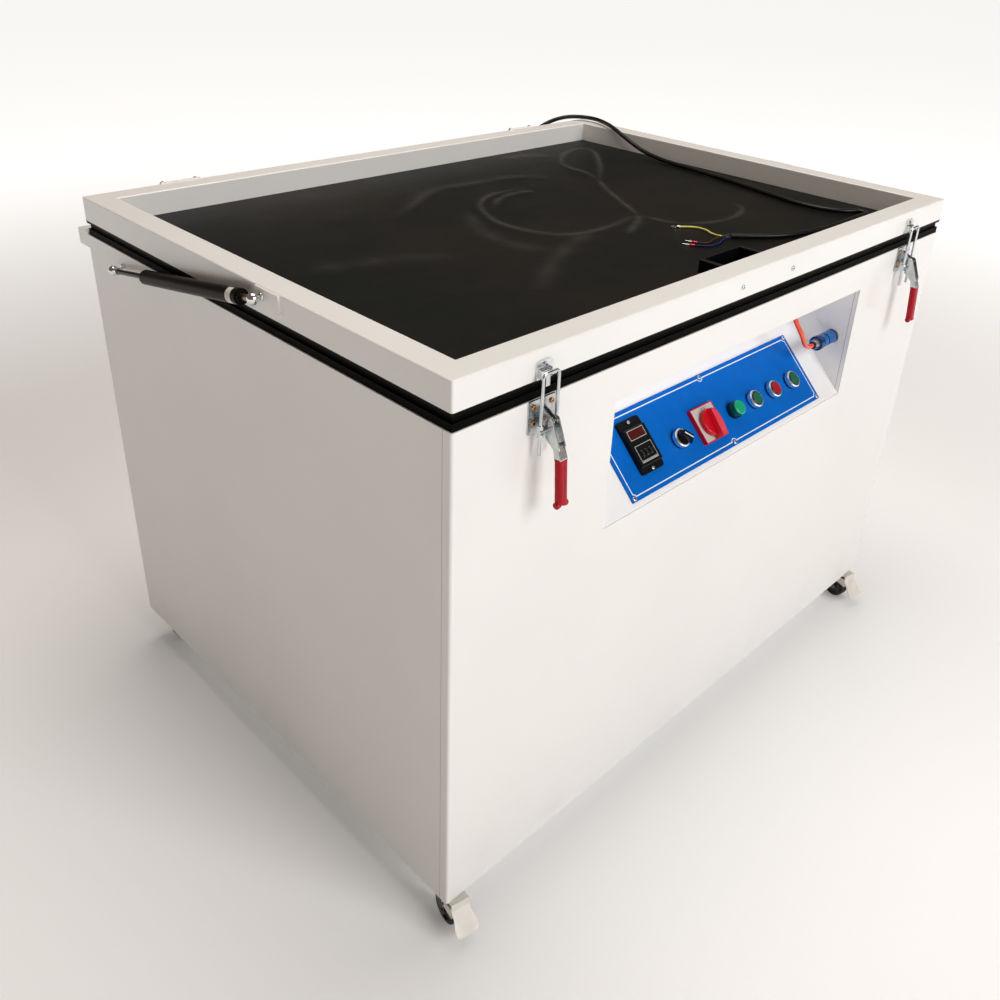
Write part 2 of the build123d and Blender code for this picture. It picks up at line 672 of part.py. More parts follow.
def shutter():
    """The flap over the lamp, hinged on the housing's two ear pins."""
    y, z = SHUTTER_AXIS
    reach = LAMP_HALF_X - 4.5
    flap = block(-reach, reach, LAMP_Y - LAMP_HALF_Y, y - 5, LAMP_TOP + 0.6, LAMP_TOP + 2.2)
    for side in (-1, 1):
        near, far = side * (LAMP_HALF_X - 24), side * (LAMP_HALF_X - 4.5)
        flap += bar_x(near, far, y, z, 4.0)
        flap += block(near, far, y - 8, y - 2, LAMP_TOP + 0.6, z)
        flap -= bar_x(side * (LAMP_HALF_X - 21), far, y, z, 2.0 + RUNNING_FIT)
    return flap


def vacuum_pump():
    """The vacuum pump on its foot plate: pump head with a port, and its motor."""
    floor = CASTOR_HEIGHT + SHEET
    x, y, port_top = HOSE_ROUTE[-1]
    pump = block(220, 460, y - 60, y + 60, floor, floor + 4)
    pump += block(225, 330, y - 50, y + 50, floor + 4, floor + 124)
    pump += bar_x(330, 455, y, floor + 64, 48)
    pump += block(345, 445, y - 30, y + 30, floor + 4, floor + 30)
    return pump + bar_z(x, y, floor + 124, port_top, 7)


def control_gear():
    """Ballast, two capacitors and a contactor beside the lamp, as separate solids."""
    floor = CASTOR_HEIGHT + SHEET
    ballast = block(-540, -380, -60, 60, floor, floor + 105)
    ballast += block(-556, -364, -60, 60, floor, floor + 4)
    capacitors = [bar_z(x, 120, floor, floor + 90, 24) for x in (-500, -430)]
    contactor = block(-540, -460, -190, -120, floor, floor + 80)
    return [ballast, *capacitors, contactor]


# ---- lid -----------------------------------------------------------------------------------
def lid_frame():
    """The folded steel lid rails, open below, with the hinge leaves and the strut plates."""
    frame = ring(HALF_X, HALF_Y, LID_RAIL_WIDTH, LID_RAIL_WIDTH, LID_BOTTOM, LID_TOP)
    upright = frame.edges().filter_by(Axis.Z)
    frame = fillet([edge for edge in upright if abs(edge.center().X) > HALF_X - 1], 3.0)
    rims = frame.edges().group_by(Axis.Z)[-1]
    frame = fillet(rims, 2.0)
    frame -= ring(
        HALF_X - SHEET,
        HALF_Y - SHEET,
        LID_RAIL_WIDTH - 2 * SHEET,
        LID_RAIL_WIDTH - 2 * SHEET,
        LID_BOTTOM,
        LID_TOP - SHEET,
    )
    for middle in HINGE_CENTRES:
        leaf = block(middle - 36, middle + 36, HALF_Y, HALF_Y + 3, LID_BOTTOM + 2, LID_TOP + 1.5)
        arm = block(middle - 12, middle + 12, HALF_Y + 0.6, HALF_Y + 4, HINGE_Z, LID_BOTTOM + 6)
        knuckle = bar_x(middle - 12, middle + 12, HINGE_Y, HINGE_Z, HINGE_KNUCKLE_RADIUS)
        bore = bar_x(middle - 12, middle + 12, HINGE_Y, HINGE_Z, HINGE_PIN_RADIUS + RUNNING_FIT)
        frame += leaf
        frame += arm + knuckle - bore
        for side in (-1, 1):
            frame += bar_y(middle + side * 30, HALF_Y + 3, HALF_Y + 7, LID_TOP - 3, 5.5)
    for side in (-1, 1):
        frame += block(side * HALF_X, side * (HALF_X + 3.5), -125, -72, LID_TOP - 27, LID_TOP - 0.5)
    return frame


def blanket():
    """The rubber blanket, clamped all round under the lid rails."""
    return block(-HALF_X, HALF_X, -HALF_Y, HALF_Y, BLANKET_BOTTOM, LID_BOTTOM)


def blanket_clamp():
    """The flat strips that clamp the blanket to the rails."""
    return ring(HALF_X - 1, HALF_Y - 1, LID_RAIL_WIDTH - 1, LID_RAIL_WIDTH - 1, CLAMP_BOTTOM, BLANKET_BOTTOM)


def latch_catch(side):
    """A latch's catch plate with its raised hook, on the front of the lid."""
    x = side * LATCH_X
    plate = block(x - 13, x + 13, FRONT - 2.5, FRONT, 856, 879)
    plate = fillet(plate.edges().filter_by(Axis.Y).group_by(Axis.Z)[-1], 6.0)
    hook = block(x - 9, x + 9, FRONT - 6, FRONT - 2.5, 857, 869)
    hook = fillet(hook.edges().filter_by(Axis.X).group_by(Axis.Y)[0], 2.0)
    tongue = block(x - 3.5, x + 3.5, FRONT - 8.2, FRONT - 4, 847, 866)
    tongue = fillet(tongue.edges().filter_by(Axis.X).group_by(Axis.Y)[0], 1.5)
    return plate + hook + tongue + bar_y(x, FRONT - 4.5, FRONT - 2.5, 873.5, 3.2)


def lid_hardware():
    """The catches, the screws of the port box and the struts' upper ball studs, as separate solids."""
    pieces = [latch_catch(-1), latch_catch(1)]
    for x in (-58.7, 74.4):
        head = bar_y(x, FRONT - 2.2, FRONT, 872, 4.0)
        pieces.append(fillet(head.edges().group_by(Axis.Y)[0], 1.2))
    for side in (-1, 1):
        pieces.append(ball_stud(side, HALF_X + 3.5, STRUT_UPPER, 6.0))
    return pieces


PORT_X = (-51.0, 59.0)
PORT_Y = (-404.0, -363.0)
PORT_TOP = 889.0


def vacuum_port():
    """The open black box on the blanket that the vacuum port stands in."""
    wall = 1.5
    box = block(*PORT_X, *PORT_Y, LID_BOTTOM + 0.4, PORT_TOP)
    inner_x, inner_y = (PORT_X[0] + wall, PORT_X[1] - wall), (PORT_Y[0] + wall, PORT_Y[1] - wall)
    box -= block(*inner_x, *inner_y, LID_BOTTOM + 2, PORT_TOP)
    lip = 9.0
    for start, step in ((PORT_X[0], 1), (PORT_X[1], -1)):
        box += block(start, start + step * lip, *PORT_Y, PORT_TOP - wall, PORT_TOP)
    middle = sum(PORT_X) / 2
    nozzle_y = sum(PORT_Y) / 2
    box += bar_z(middle, nozzle_y, LID_BOTTOM + 2, LID_BOTTOM + 16, 7)
    return box - bar_z(middle, nozzle_y, LID_BOTTOM + 4, LID_BOTTOM + 16, 4)


# ---- gas struts ----------------------------------------------------------------------------
def strut_point(side, distance):
    """A point on the strut's axis, measured from the lower ball."""
    share = distance / STRUT_LENGTH
    y = STRUT_LOWER[0] + share * (STRUT_UPPER[0] - STRUT_LOWER[0])
    z = STRUT_LOWER[1] + share * (STRUT_UPPER[1] - STRUT_LOWER[1])
    return (side * STRUT_X, y, z)


def ball_socket(side, centre):
    """A round socket that grips a ball stud from outside and is open towards the stud."""
    x, y, z = side * STRUT_X, *centre
    socket = ball(x, y, z, SOCKET_RADIUS) - ball(x, y, z, BALL_RADIUS + 0.1)
    return socket - bar_x(x - (SOCKET_RADIUS + 1) * side, x, y, z, 4.4)


def strut_rod(side):
    """The strut's rod, with the socket of the cabinet's ball stud."""
    rod = rod_between(strut_point(side, SOCKET_RADIUS - 1), strut_point(side, 300), STRUT_ROD_RADIUS)
    rod += rod_between(strut_point(side, SOCKET_RADIUS - 1), strut_point(side, 18), 5.0)
    return rod + ball_socket(side, STRUT_LOWER)


def strut_tube(side):
    """The strut's cylinder, open at its mouth, with the socket of the lid's ball stud."""
    mouth, end = 116.0, 392.0
    cylinder = rod_between(strut_point(side, mouth), strut_point(side, end), STRUT_TUBE_RADIUS)
    cylinder -= rod_between(strut_point(side, mouth), strut_point(side, end - 6), STRUT_BORE_RADIUS)
    cylinder += rod_between(strut_point(side, end), strut_point(side, end + 5), STRUT_TUBE_RADIUS - 2)
    neck_end = STRUT_LENGTH - SOCKET_RADIUS + 1
    cylinder += rod_between(strut_point(side, end + 5), strut_point(side, neck_end), 4.5)
    return cylinder + ball_socket(side, STRUT_UPPER)


# ---- latches -------------------------------------------------------------------------------
GRIP_TOP = (-480.6, 764.0)
GRIP_END = (-485.0, 706.0)


def latch_handle(side):
    """A latch's lever: two cheeks that meet in a neck, and the dipped grip with its two toes."""
    x = side * LATCH_X
    handle = None
    for offset in (-1, 1):
        near, far = x + offset * 4.4, x + offset * 6.2
        cheek = hull_yz(near, far, [(*LATCH_PIVOT, 6), (*BOW_PIVOT, 6), (-477, 778, 5)])
        handle = cheek if handle is None else handle + cheek
    handle += hull_yz(x - 6.2, x + 6.2, [(-476, 779, 3.5), (*GRIP_TOP, 5)])
    top, end = Vector(x, *GRIP_TOP), Vector(x, *GRIP_END)
    plane = Plane(origin=top, x_dir=(1, 0, 0), z_dir=end - top)
    length = (end - top).length
    grip = plane.location * extrude(RectangleRounded(15.5, 11.5, 5.0), amount=length)
    handle += grip
    for offset in (-1, 1):
        toe = rod_between((x + offset * 2, *GRIP_END), (x + offset * 10.3, GRIP_END[0], GRIP_END[1] - 2), 4.6)
        handle += fillet(toe.edges().filter_by(GeomType.CIRCLE), 2.5)
    handle -= bar_x(x - 10, x + 10, *LATCH_PIVOT, 2.5 + RUNNING_FIT)
    return handle - bar_x(x - 10, x + 10, *BOW_PIVOT, 3.75 + RUNNING_FIT)


def latch_bow(side):
    """A latch's wire bow through its cross bar, with a nut above and below the bar on each leg."""
    x = side * LATCH_X
    y, z = BOW_PIVOT
    corner = 6.0
    left, right = (x - BOW_LEG_OFFSET, y), (x + BOW_LEG_OFFSET, y)
    path = FilletPolyline(
        (*left, BOW_LEG_END), (*left, BOW_TOP), (*right, BOW_TOP), (*right, BOW_LEG_END), radius=corner
    )
    start = Plane(origin=(*left, BOW_LEG_END), z_dir=(0, 0, 1))
    bow = sweep(start.location * Circle(BOW_WIRE_RADIUS), path=path)
    bow += bar_x(x - 16.5, x + 16.5, y, z, 3.75)
    for leg_x in (x - BOW_LEG_OFFSET, x + BOW_LEG_OFFSET):
        for bottom in (z + 3.2, z - 3.2 - 4.5):
            hexagon = Pos(leg_x, y, bottom) * RegularPolygon(3.5, 6, major_radius=False, rotation=30)
            bow += extrude(hexagon, amount=4.5)
    return bow


# ---- castors -------------------------------------------------------------------------------
CASTORS = {
    "front_left": (-1, -1, FRONT_LEFT_TURN),
    "front_right": (1, -1, FRONT_RIGHT_TURN),
    "rear_left": (-1, 1, 94.0),
    "rear_right": (1, 1, -4.0),
}
PEDAL_PIVOT = (-28.0, 50.0)


def castor_place(name):
    """Where a castor's swivel axis stands and how far it is turned at rest."""
    side_x, side_y, turn = CASTORS[name]
    return Pos(side_x * CASTOR_X, side_y * CASTOR_Y, 0) * Rot(0, 0, turn)


def castor_plates():
    """The four top plates, screwed under the cabinet's floor."""
    plates = []
    for name in CASTORS:
        side_x, side_y, _ = CASTORS[name]
        x, y = side_x * CASTOR_X, side_y * CASTOR_Y
        plate = block(x - 24, x + 24, y - 24, y + 24, CASTOR_HEIGHT - 3, CASTOR_HEIGHT)
        plates.append(fillet(plate.edges().filter_by(Axis.Z), 4.0))
    return plates


def castor_fork(name):
    """A castor's swivel head, its two fork legs and the wheel's axle."""
    top = CASTOR_HEIGHT - 3.3
    fork = bar_z(0, 0, top - 9, top, 19.0)
    fork = chamfer(fork.edges().group_by(Axis.Z)[0], 2.0)
    for side in (-1, 1):
        near, far = side * (WHEEL_WIDTH / 2 + 1.5), side * (WHEEL_WIDTH / 2 + 3.5)
        leg = [(0, top - 9, 8.5), (-10, top - 12, 8), (-CASTOR_TRAIL, WHEEL_RADIUS, 7.5)]
        fork += hull_yz(near, far, leg)
        if side == 1:
            fork += bar_x(-far - 1.2, far + 1.2, -CASTOR_TRAIL, WHEEL_RADIUS, 3.0)
    pivot_reach = WHEEL_WIDTH / 2 + 7
    if "front" in name:
        y, z = PEDAL_PIVOT
        for side in (-1, 1):
            near, far = side * (WHEEL_WIDTH / 2 + 1.5), side * (WHEEL_WIDTH / 2 + 3.5)
            fork += hull_yz(near, far, [(-8, z, 6), (y, z, 4)])
            fork += bar_x(near, side * pivot_reach, y, z, 2.0)
    return castor_place(name) * fork


def castor_wheel(name):
    """A castor's wheel with a rounded tread, on the fork's axle."""
    half = WHEEL_WIDTH / 2
    wheel = bar_x(-half, half, -CASTOR_TRAIL, WHEEL_RADIUS, WHEEL_RADIUS)
    wheel = fillet(wheel.edges().filter_by(GeomType.CIRCLE), 3.0)
    for side in (-1, 1):
        dish = bar_x(side * (half - 2.5), side * half, -CASTOR_TRAIL, WHEEL_RADIUS, 17.5)
        hub = bar_x(side * (half - 2.5), side * half, -CASTOR_TRAIL, WHEEL_RADIUS, 7.0)
        wheel -= dish - hub
    wheel -= bar_x(-half, half, -CASTOR_TRAIL, WHEEL_RADIUS, 3.0 + RUNNING_FIT)
    return castor_place(name) * wheel


def brake_pedal(name):
    """A front castor's brake pedal: two arms, an upright brake plate and the slanted tread."""
    y, z = PEDAL_PIVOT
    thick = 2.0
    reach = WHEEL_WIDTH / 2 + 4
    plate_y = -48.0
    pedal = block(-15, 15, plate_y - thick, plate_y, 40, CASTOR_HEIGHT - 3)
    # the tread's own plane: local Y runs down the slant, local Z towards the wheel
    down = Vector(0, -25, -29).normalized()
    slant = Plane(origin=(0, plate_y - thick, 54), x_dir=(1, 0, 0), z_dir=Vector(1, 0, 0).cross(down))
    right_edge = [(15, -1), (15, 12), (18.5, 24), (18.5, 38)]
    outline = Polygon(*right_edge, *[(-x, down_slant) for x, down_slant in reversed(right_edge)], align=None)
    outline = fillet(outline.vertices().group_by(Axis.Y)[-1], 6.0)
    pedal += slant.location * extrude(outline, amount=thick)
    for side in (-1, 1):
        near, far = side * reach, side * (reach + 1.8)
        pedal += slab_yz(near, far, [(plate_y - 1, 42), (plate_y - 1, 60), (y, z + 5), (y, z - 5)])
        pedal += bar_x(near, far, y, z, 5.0)
        pedal -= bar_x(near, far, y, z, 2.0 + RUNNING_FIT)
    return castor_place(name) * pedal


# ---- cord ends -----------------------------------------------------------------------------
def wire_end(route, length, radius):
    """A straight terminal barrel in line with the last run of a wire."""
    last, before = Vector(*route[-1]), Vector(*route[-2])
    direction = (last - before).normalized()
    return last, direction, rod_between(tuple(last), tuple(last + direction * length), radius)


def cord_wires():
    """The cord's three cores with a ring terminal and two sleeved pins, as separate solids."""
    pieces = []
    routes = {
        "earth wire": EARTH_WIRE_ROUTE,
        "live wire": LIVE_WIRE_ROUTE,
        "neutral wire": NEUTRAL_WIRE_ROUTE,
    }
    for name, route in routes.items():
        pieces.append(tube(name, route, WIRE_DIAMETER))
    last, direction, barrel = wire_end(EARTH_WIRE_ROUTE, 7, 1.9)
    centre = last + direction * 11
    eye = bar_z(centre.X, centre.Y, 856.2, 857.4, 5.0) - bar_z(centre.X, centre.Y, 856.2, 857.4, 2.2)
    pieces.append(barrel + eye)
    for route in (LIVE_WIRE_ROUTE, NEUTRAL_WIRE_ROUTE):
        last, direction, collar = wire_end(route, 8, 1.9)
        pin_end = last + direction * 20
        pieces.append(collar + rod_between(tuple(last + direction * 8), tuple(pin_end), 0.9))
    return pieces


# ---- every node ----------------------------------------------------------------------------
def build():
    os.makedirs("parts", exist_ok=True)
    save("front_panel", front_panel())
    save("side_panels", side_panel(-1), side_panel(1))
    save("rear_panel", rear_panel())
    save("bottom_panel", bottom_panel())
    save("top_rim", top_rim())
    save("glass_plate", glass_plate())
    save("inner_frame", inner_frame())
    save("rim_seal", rim_seal())
    save("control_recess", control_recess())
    save("control_plate", control_plate())
    save("control_bezels", *[bezel(x) for x in (SELECTOR_X, *BUTTONS.values())])
    save("indicator_lamp", *indicator_lamp())
    save("selector_knob", selector_knob())
    for name, x in BUTTONS.items():
        save(name, push_button(x))
    save("main_switch_base", main_switch_base())
    save("main_switch_handle", main_switch_handle())
    save("timer_housing", timer_housing())
    for number in range(3):
        save(f"timer_thumbwheel_{number + 1}", thumbwheel(number))
    save("coupler_body", coupler_body())
    save("coupler_sleeve", coupler_sleeve())
    save("air_hose", tube("air hose", HOSE_ROUTE, HOSE_DIAMETER))
    save("hinge_rail", hinge_rail())
    save("latch_bases", latch_base(-1), latch_base(1))
    save("fasteners", *fasteners())
    save("cable_gland", cable_gland())
    save("lamp_housing", *lamp_housing())
    save("lamp_shutter", shutter())
    save("vacuum_pump", vacuum_pump())
    save("control_gear", *control_gear())
    save("lid_frame", lid_frame())
    save("rubber_blanket", blanket())
    save("blanket_clamp", blanket_clamp())
    save("lid_hardware", *lid_hardware())
    save("vacuum_port", vacuum_port())
    for label, side in (("left", -1), ("right", 1)):
        save(f"strut_rod_{label}", strut_rod(side))
        save(f"strut_tube_{label}", strut_tube(side))
        save(f"latch_handle_{label}", latch_handle(side))
        save(f"latch_bow_{label}", latch_bow(side))
    save("castor_plates", *castor_plates())
    for name in CASTORS:
        save(f"castor_fork_{name}", castor_fork(name))
        save(f"castor_wheel_{name}", castor_wheel(name))
        if "front" in name:
            save(f"brake_pedal_{name}", brake_pedal(name))
    save("cord_root", tube("cord root", CORD_ROOT_ROUTE, CORD_DIAMETER))
    save("cord_on_lid", tube("cord on the lid", CORD_LID_ROUTE, CORD_DIAMETER))
    save("cord_wires", *cord_wires())


build()
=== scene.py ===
import math

import bmesh
import bpy
import numpy as np
from mathutils import Matrix, Vector


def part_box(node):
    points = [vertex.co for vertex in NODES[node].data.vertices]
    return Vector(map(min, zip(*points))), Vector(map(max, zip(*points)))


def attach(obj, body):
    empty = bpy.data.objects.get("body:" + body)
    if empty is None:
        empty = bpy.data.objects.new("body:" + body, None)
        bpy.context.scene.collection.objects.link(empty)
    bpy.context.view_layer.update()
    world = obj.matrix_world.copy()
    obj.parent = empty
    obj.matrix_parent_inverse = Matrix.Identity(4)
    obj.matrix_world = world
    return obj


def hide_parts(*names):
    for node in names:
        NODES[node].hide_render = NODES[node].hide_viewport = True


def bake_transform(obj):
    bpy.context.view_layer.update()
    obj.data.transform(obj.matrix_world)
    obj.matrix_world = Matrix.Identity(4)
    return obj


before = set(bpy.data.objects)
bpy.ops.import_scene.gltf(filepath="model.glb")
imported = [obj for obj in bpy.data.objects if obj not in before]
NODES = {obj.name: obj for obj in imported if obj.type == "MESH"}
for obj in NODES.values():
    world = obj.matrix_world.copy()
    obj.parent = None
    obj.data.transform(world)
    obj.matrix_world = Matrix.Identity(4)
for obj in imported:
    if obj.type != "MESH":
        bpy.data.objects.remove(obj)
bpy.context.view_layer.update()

MM = 0.001

# ---- places on the object, in millimetres -------------------------------------------------
PANEL_Y, PANEL_Z = -445.0, 584.5
PLATE_X, PLATE_S = 6.0, 73.5
PLATE_SCREWS_X = (-246.0, 6.0, 258.0)
PLATE_SCREW_ROW = 58.5
CONTROL_ROW = 60.0
TIMER_X = -187.0
SELECTOR_X = -105.6
SELECTOR_TURN = -138.0
START_X, STOP_X, EXPOSURE_X = 97.0, 154.3, 212.0
CAP_EDGE = 9.9
BEZEL_GAP = 11.9
SWITCH_HOLE = (-18.0, -402.0, 637.0)
LATCH_X = 462.0
STRUT_X = 616.0
STRUT_FOOT = (0, 326, 805)
STRUT_AXIS = (0, -413, 76)
CASTOR_X, CASTOR_Y = 572.0, 404.0
PEDAL_TURN = -10.0

# ---- camera -----------------------------------------------------------------------------
camera = bpy.data.objects.new("camera", bpy.data.cameras.new("camera"))
bpy.context.scene.collection.objects.link(camera)
camera.data.sensor_width = 36.0
camera.data.lens = 34.753
camera.data.shift_x = -0.0221
camera.data.shift_y = -0.0895
RIGHT = Vector((0.704882, -0.708033, 0.042789))
DOWN = Vector((-0.297800, -0.350146, -0.888095))
AHEAD = Vector((0.643783, 0.613260, -0.457664))
turn = Matrix((RIGHT, -DOWN, -AHEAD)).transposed().to_4x4()
camera.matrix_world = Matrix.Translation((-1.1971, -1.1149, 1.3240)) @ turn
bpy.context.scene.camera = camera

# ---- cord: the same points as the route in the CAD --------------------------------------
CORD_POINTS = [
    (200, 490.7, 330),
    (200, 522, 330),
    (203, 551, 305),
    (207, 556, 258),
    (209, 554, 205),
    (227, 551, 163),
    (263, 548, 148),
    (299, 545, 168),
    (316, 541, 218),
    (320, 538, 300),
    (318, 534, 410),
    (312, 530, 530),
    (306, 527, 640),
    (307, 522, 730),
    (324, 517, 797),
    (362, 512, 838),
    (446, 512, 838),
    (484, 500, 864),
    (519, 477, 890),
    (549, 452, 902),
    (581, 430, 902),
    (590, 394, 901.5),
    (573, 351, 901.5),
    (552, 311, 901),
    (543, 262, 885),
    (539, 207, 866),
    (528, 140, 860),
    (516, 50, 860),
    (501, -48, 860),
    (478, -145, 860),
    (458, -225, 860),
    (460, -275, 860),
    (474, -309, 860),
    (506, -327, 860),
    (506, -349, 860),
    (464, -347.5, 860),
    (390, -350.5, 860),
    (310, -344.5, 860),
    (250, -328.5, 860),
    (207, -300, 860),
    (173, -271, 860),
]
CORD_DIAMETER = 9 * MM
WIRE_DIAMETER = 3 * MM
WIRES = {
    "earth_wire": [
        (174.1, -269.7, 859.1),
        (164, -262, 858.4),
        (165, -240, 857),
        (179, -217, 857),
        (176, -193, 857),
        (156, -179, 857),
    ],
    "live_wire": [
        (173, -271, 861.9),
        (161, -261, 860),
        (139, -259, 857),
        (121, -265, 857),
        (110, -262, 857),
        (105, -251, 857),
    ],
    "neutral_wire": [
        (171.9, -272.3, 859.1),
        (158, -267, 857.4),
        (138, -276, 857),
        (116, -280, 857),
        (96, -270, 857),
        (89, -258, 857),
    ],
}


def spline(name, points, radius=0.0):
    """A smooth line with the given points, in millimetres, as its control points."""
    curve = bpy.data.curves.new(name, "CURVE")
    curve.dimensions = "3D"
    line = curve.splines.new("NURBS")
    line.points.add(len(points) - 1)
    for point, place in zip(line.points, points):
        point.co = (*(value * MM for value in place), 1)
    line.order_u = 3
    line.use_endpoint_u = True
    line.resolution_u = 8
    curve.bevel_depth = radius
    curve.bevel_resolution = 4
    curve.use_fill_caps = True
    piece = bpy.data.objects.new(name, curve)
    bpy.context.scene.collection.objects.link(piece)
    return piece


def line_points(points):
    """Where a spline through such points runs, as points in metres."""
    line = spline("line", points)
    bpy.context.view_layer.update()
    mesh = bpy.data.meshes.new_from_object(line)
    places = [vertex.co.copy() for vertex in mesh.vertices]
    bpy.data.meshes.remove(mesh)
    bpy.data.objects.remove(line)
    return places


# ---- shader sums ------------------------------------------------------------------------
class Value:
    """A number or a colour in a material, which takes part in ordinary sums."""

    def __init__(self, nodes, socket):
        self.nodes = nodes
        self.socket = socket

    def math(self, operation, *terms):
        return self.nodes.node("ShaderNodeMath", {"operation": operation}, dict(enumerate(terms)))

    def __add__(self, other):
        return self.math("ADD", self, other)

    def __sub__(self, other):
        return self.math("SUBTRACT", self, other)

    def __rsub__(self, other):
        return self.math("SUBTRACT", other, self)

    def __mul__(self, other):
        return self.math("MULTIPLY", self, other)

    def __lt__(self, limit):
        return self.math("LESS_THAN", self, limit)

    def __gt__(self, limit):
        return self.math("GREATER_THAN", self, limit)

    def __and__(self, other):
        return self.math("MINIMUM", self, other)

    def __or__(self, other):
        return self.math("MAXIMUM", self, other)

    def __abs__(self):
        return self.math("ABSOLUTE", self)

    __radd__ = __add__
    __rmul__ = __mul__

    def root(self):
        return self.math("SQRT", self)

    def wave(self):
        return self.math("SINE", self)

    def rise(self, low, high):
        """0 below low, 1 above high, and smooth between."""
        sockets = {"Value": self, "From Min": low, "From Max": high}
        return self.nodes.node("ShaderNodeMapRange", {"interpolation_type": "SMOOTHSTEP"}, sockets)


class Nodes:
    """The nodes of one material, or of the world."""

    def __init__(self, tree):
        self.tree = tree

    def node(self, kind, settings=None, sockets=None, output=0):
        """A node of one kind, with its settings and the values or links of its sockets."""
        made = self.tree.nodes.new(kind)
        for key, setting in (settings or {}).items():
            setattr(made, key, setting)
        for key, held in (sockets or {}).items():
            if isinstance(held, Value):
                self.tree.links.new(held.socket, made.inputs[key])
            else:
                made.inputs[key].default_value = held
        if isinstance(output, tuple):
            return [Value(self, made.outputs[number]) for number in output]
        return Value(self, made.outputs[output])

    def mix(self, share, first, second):
        """One colour passing into another."""
        first, second = ((*colour, 1) if isinstance(colour, tuple) else colour for colour in (first, second))
        sockets = {0: share, 6: first, 7: second}
        return self.node("ShaderNodeMix", {"data_type": "RGBA"}, sockets, 2)

    def noise(self, scale, detail=3.0, stretch=(1, 1, 1), rough=0.5):
        """Soft random values about 0.5 over the object."""
        place = self.node("ShaderNodeMapping", {}, {"Vector": self.place, "Scale": stretch})
        sockets = {"Vector": place, "Scale": scale, "Detail": detail, "Roughness": rough}
        return self.node("ShaderNodeTexNoise", {}, sockets)


class Paint(Nodes):
    """A material under way: its shader, and places on the object in millimetres."""

    def __init__(self, name, colour, roughness, metallic=0.0, **more):
        self.material = bpy.data.materials.new(name)
        self.material.use_nodes = True
        super().__init__(self.material.node_tree)
        self.colour = colour
        self.shader = self.tree.nodes["Principled BSDF"]
        fixed = {"Base Color": (*colour, 1), "Roughness": roughness, "Metallic": metallic}
        for key, value in more.items():
            fixed[key.replace("_", " ").title().replace("Ior", "IOR")] = value
        for key, value in fixed.items():
            self.shader.inputs[key].default_value = value
        self.place = self.node("ShaderNodeTexCoord", {}, {}, "Object")
        metres = self.node("ShaderNodeSeparateXYZ", {}, {0: self.place}, (0, 1, 2))
        self.x, self.y, self.z = (value * 1000.0 for value in metres)

    def feed(self, name, value):
        self.tree.links.new(value.socket, self.shader.inputs[name])
        return self

    def relief(self, height, depth):
        """A relief of so many millimetres where height goes from 0 to 1."""
        sockets = {"Strength": 1.0, "Distance": depth * MM, "Height": height}
        return self.feed("Normal", self.node("ShaderNodeBump", {}, sockets))

    def along(self, point, axis):
        """How far a place is past a point along an axis."""
        axis = Vector(axis).normalized()
        return self.x * axis.x + self.y * axis.y + self.z * axis.z - axis.dot(Vector(point))

    def away(self, point, axis):
        """How far a place is from a line through a point."""
        gaps = [value - start for value, start in zip((self.x, self.y, self.z), point)]
        run = self.along(point, axis)
        return (gaps[0] * gaps[0] + gaps[1] * gaps[1] + gaps[2] * gaps[2] - run * run | 0.0).root()

    def on_panel(self):
        """Across the control panel, up its slope and out of it."""
        level, depth = self.z - PANEL_Z, self.y - PANEL_Y
        return self.x, (level + depth) * COS45, (level - depth) * COS45

    def tint(self, scale, amount, base=None):
        """The base colour, a little lighter and darker in patches."""
        base = base or self.colour
        dark = tuple(value * (1 - amount) for value in base)
        light = tuple(min(1.0, value * (1 + amount)) for value in base)
        return self.mix(self.noise(scale).rise(0.3, 0.7), dark, light)


COS45 = math.cos(math.radians(45))


def nearest(value, *levels):
    """How far a value is from the nearest of some levels."""
    gaps = [abs(value - level) for level in levels]
    least = gaps[0]
    for gap in gaps[1:]:
        least = least & gap
    return least


def span(*gaps):
    """The distance that some gaps at right angles make together."""
    total = gaps[0] * gaps[0]
    for gap in gaps[1:]:
        total = total + gap * gap
    return total.root()


def cross_slot(across, up, reach=2.1, half=0.5):
    """The cross recess of a screw, from the two distances to its middle."""
    return (across < half) & (up < reach) | (up < half) & (across < reach)


def inside(value, middle, half):
    return abs(value - middle) < half


def frame_line(across, up, middle, half, width):
    """A rectangular line round a middle, drawn inside the given half sizes."""
    edge = (abs(across - middle[0]) - half[0]) | (abs(up - middle[1]) - half[1])
    return (edge < 0.0) & (edge > -width)


# ---- materials --------------------------------------------------------------------------
def powder_white(name="white_powder_coat", seam_and_shade=None, bare=None, tone=(0.80, 0.79, 0.77)):
    """White powder coat with a fine orange peel; seam masks draw dark joints and, in the pocket, a painted
    shadow; bare parts are zinc.
    """
    paint = Paint(name, tone, 0.34, coat_weight=0.25, coat_roughness=0.12)
    grime = (1 - paint.z.rise(70, 190)) * paint.noise(9, 5).rise(0.45, 0.8) * 0.35
    rubbed = paint.noise(5, 6, (1, 1, 0.4)).rise(0.62, 0.78) * 0.10
    base = paint.mix(grime, paint.tint(2.5, 0.02), (0.60, 0.58, 0.54))
    base = paint.mix(rubbed, base, (0.66, 0.64, 0.61))
    if seam_and_shade:
        # darkens the seam mask: real joints, and painted shadow where the mask marks one
        base = paint.mix(seam_and_shade(paint), base, (0.42, 0.39, 0.38))
    if bare:
        part, colour = bare
        mask = part(paint)
        base = paint.mix(mask, base, paint.tint(90, 0.2, colour))
        paint.feed("Metallic", mask)
    paint.feed("Base Color", base)
    paint.feed("Roughness", 0.25 + 0.14 * paint.noise(14, 4) + rubbed)
    return paint.relief(paint.noise(420, 2) + paint.noise(22, 2) * 3.0, 0.10)


def sheet_joint(paint):
    """The joint between the folded front sheet and the side sheets."""
    return inside(paint.y, -430.0, 0.45) & (abs(paint.x) > 599.5)


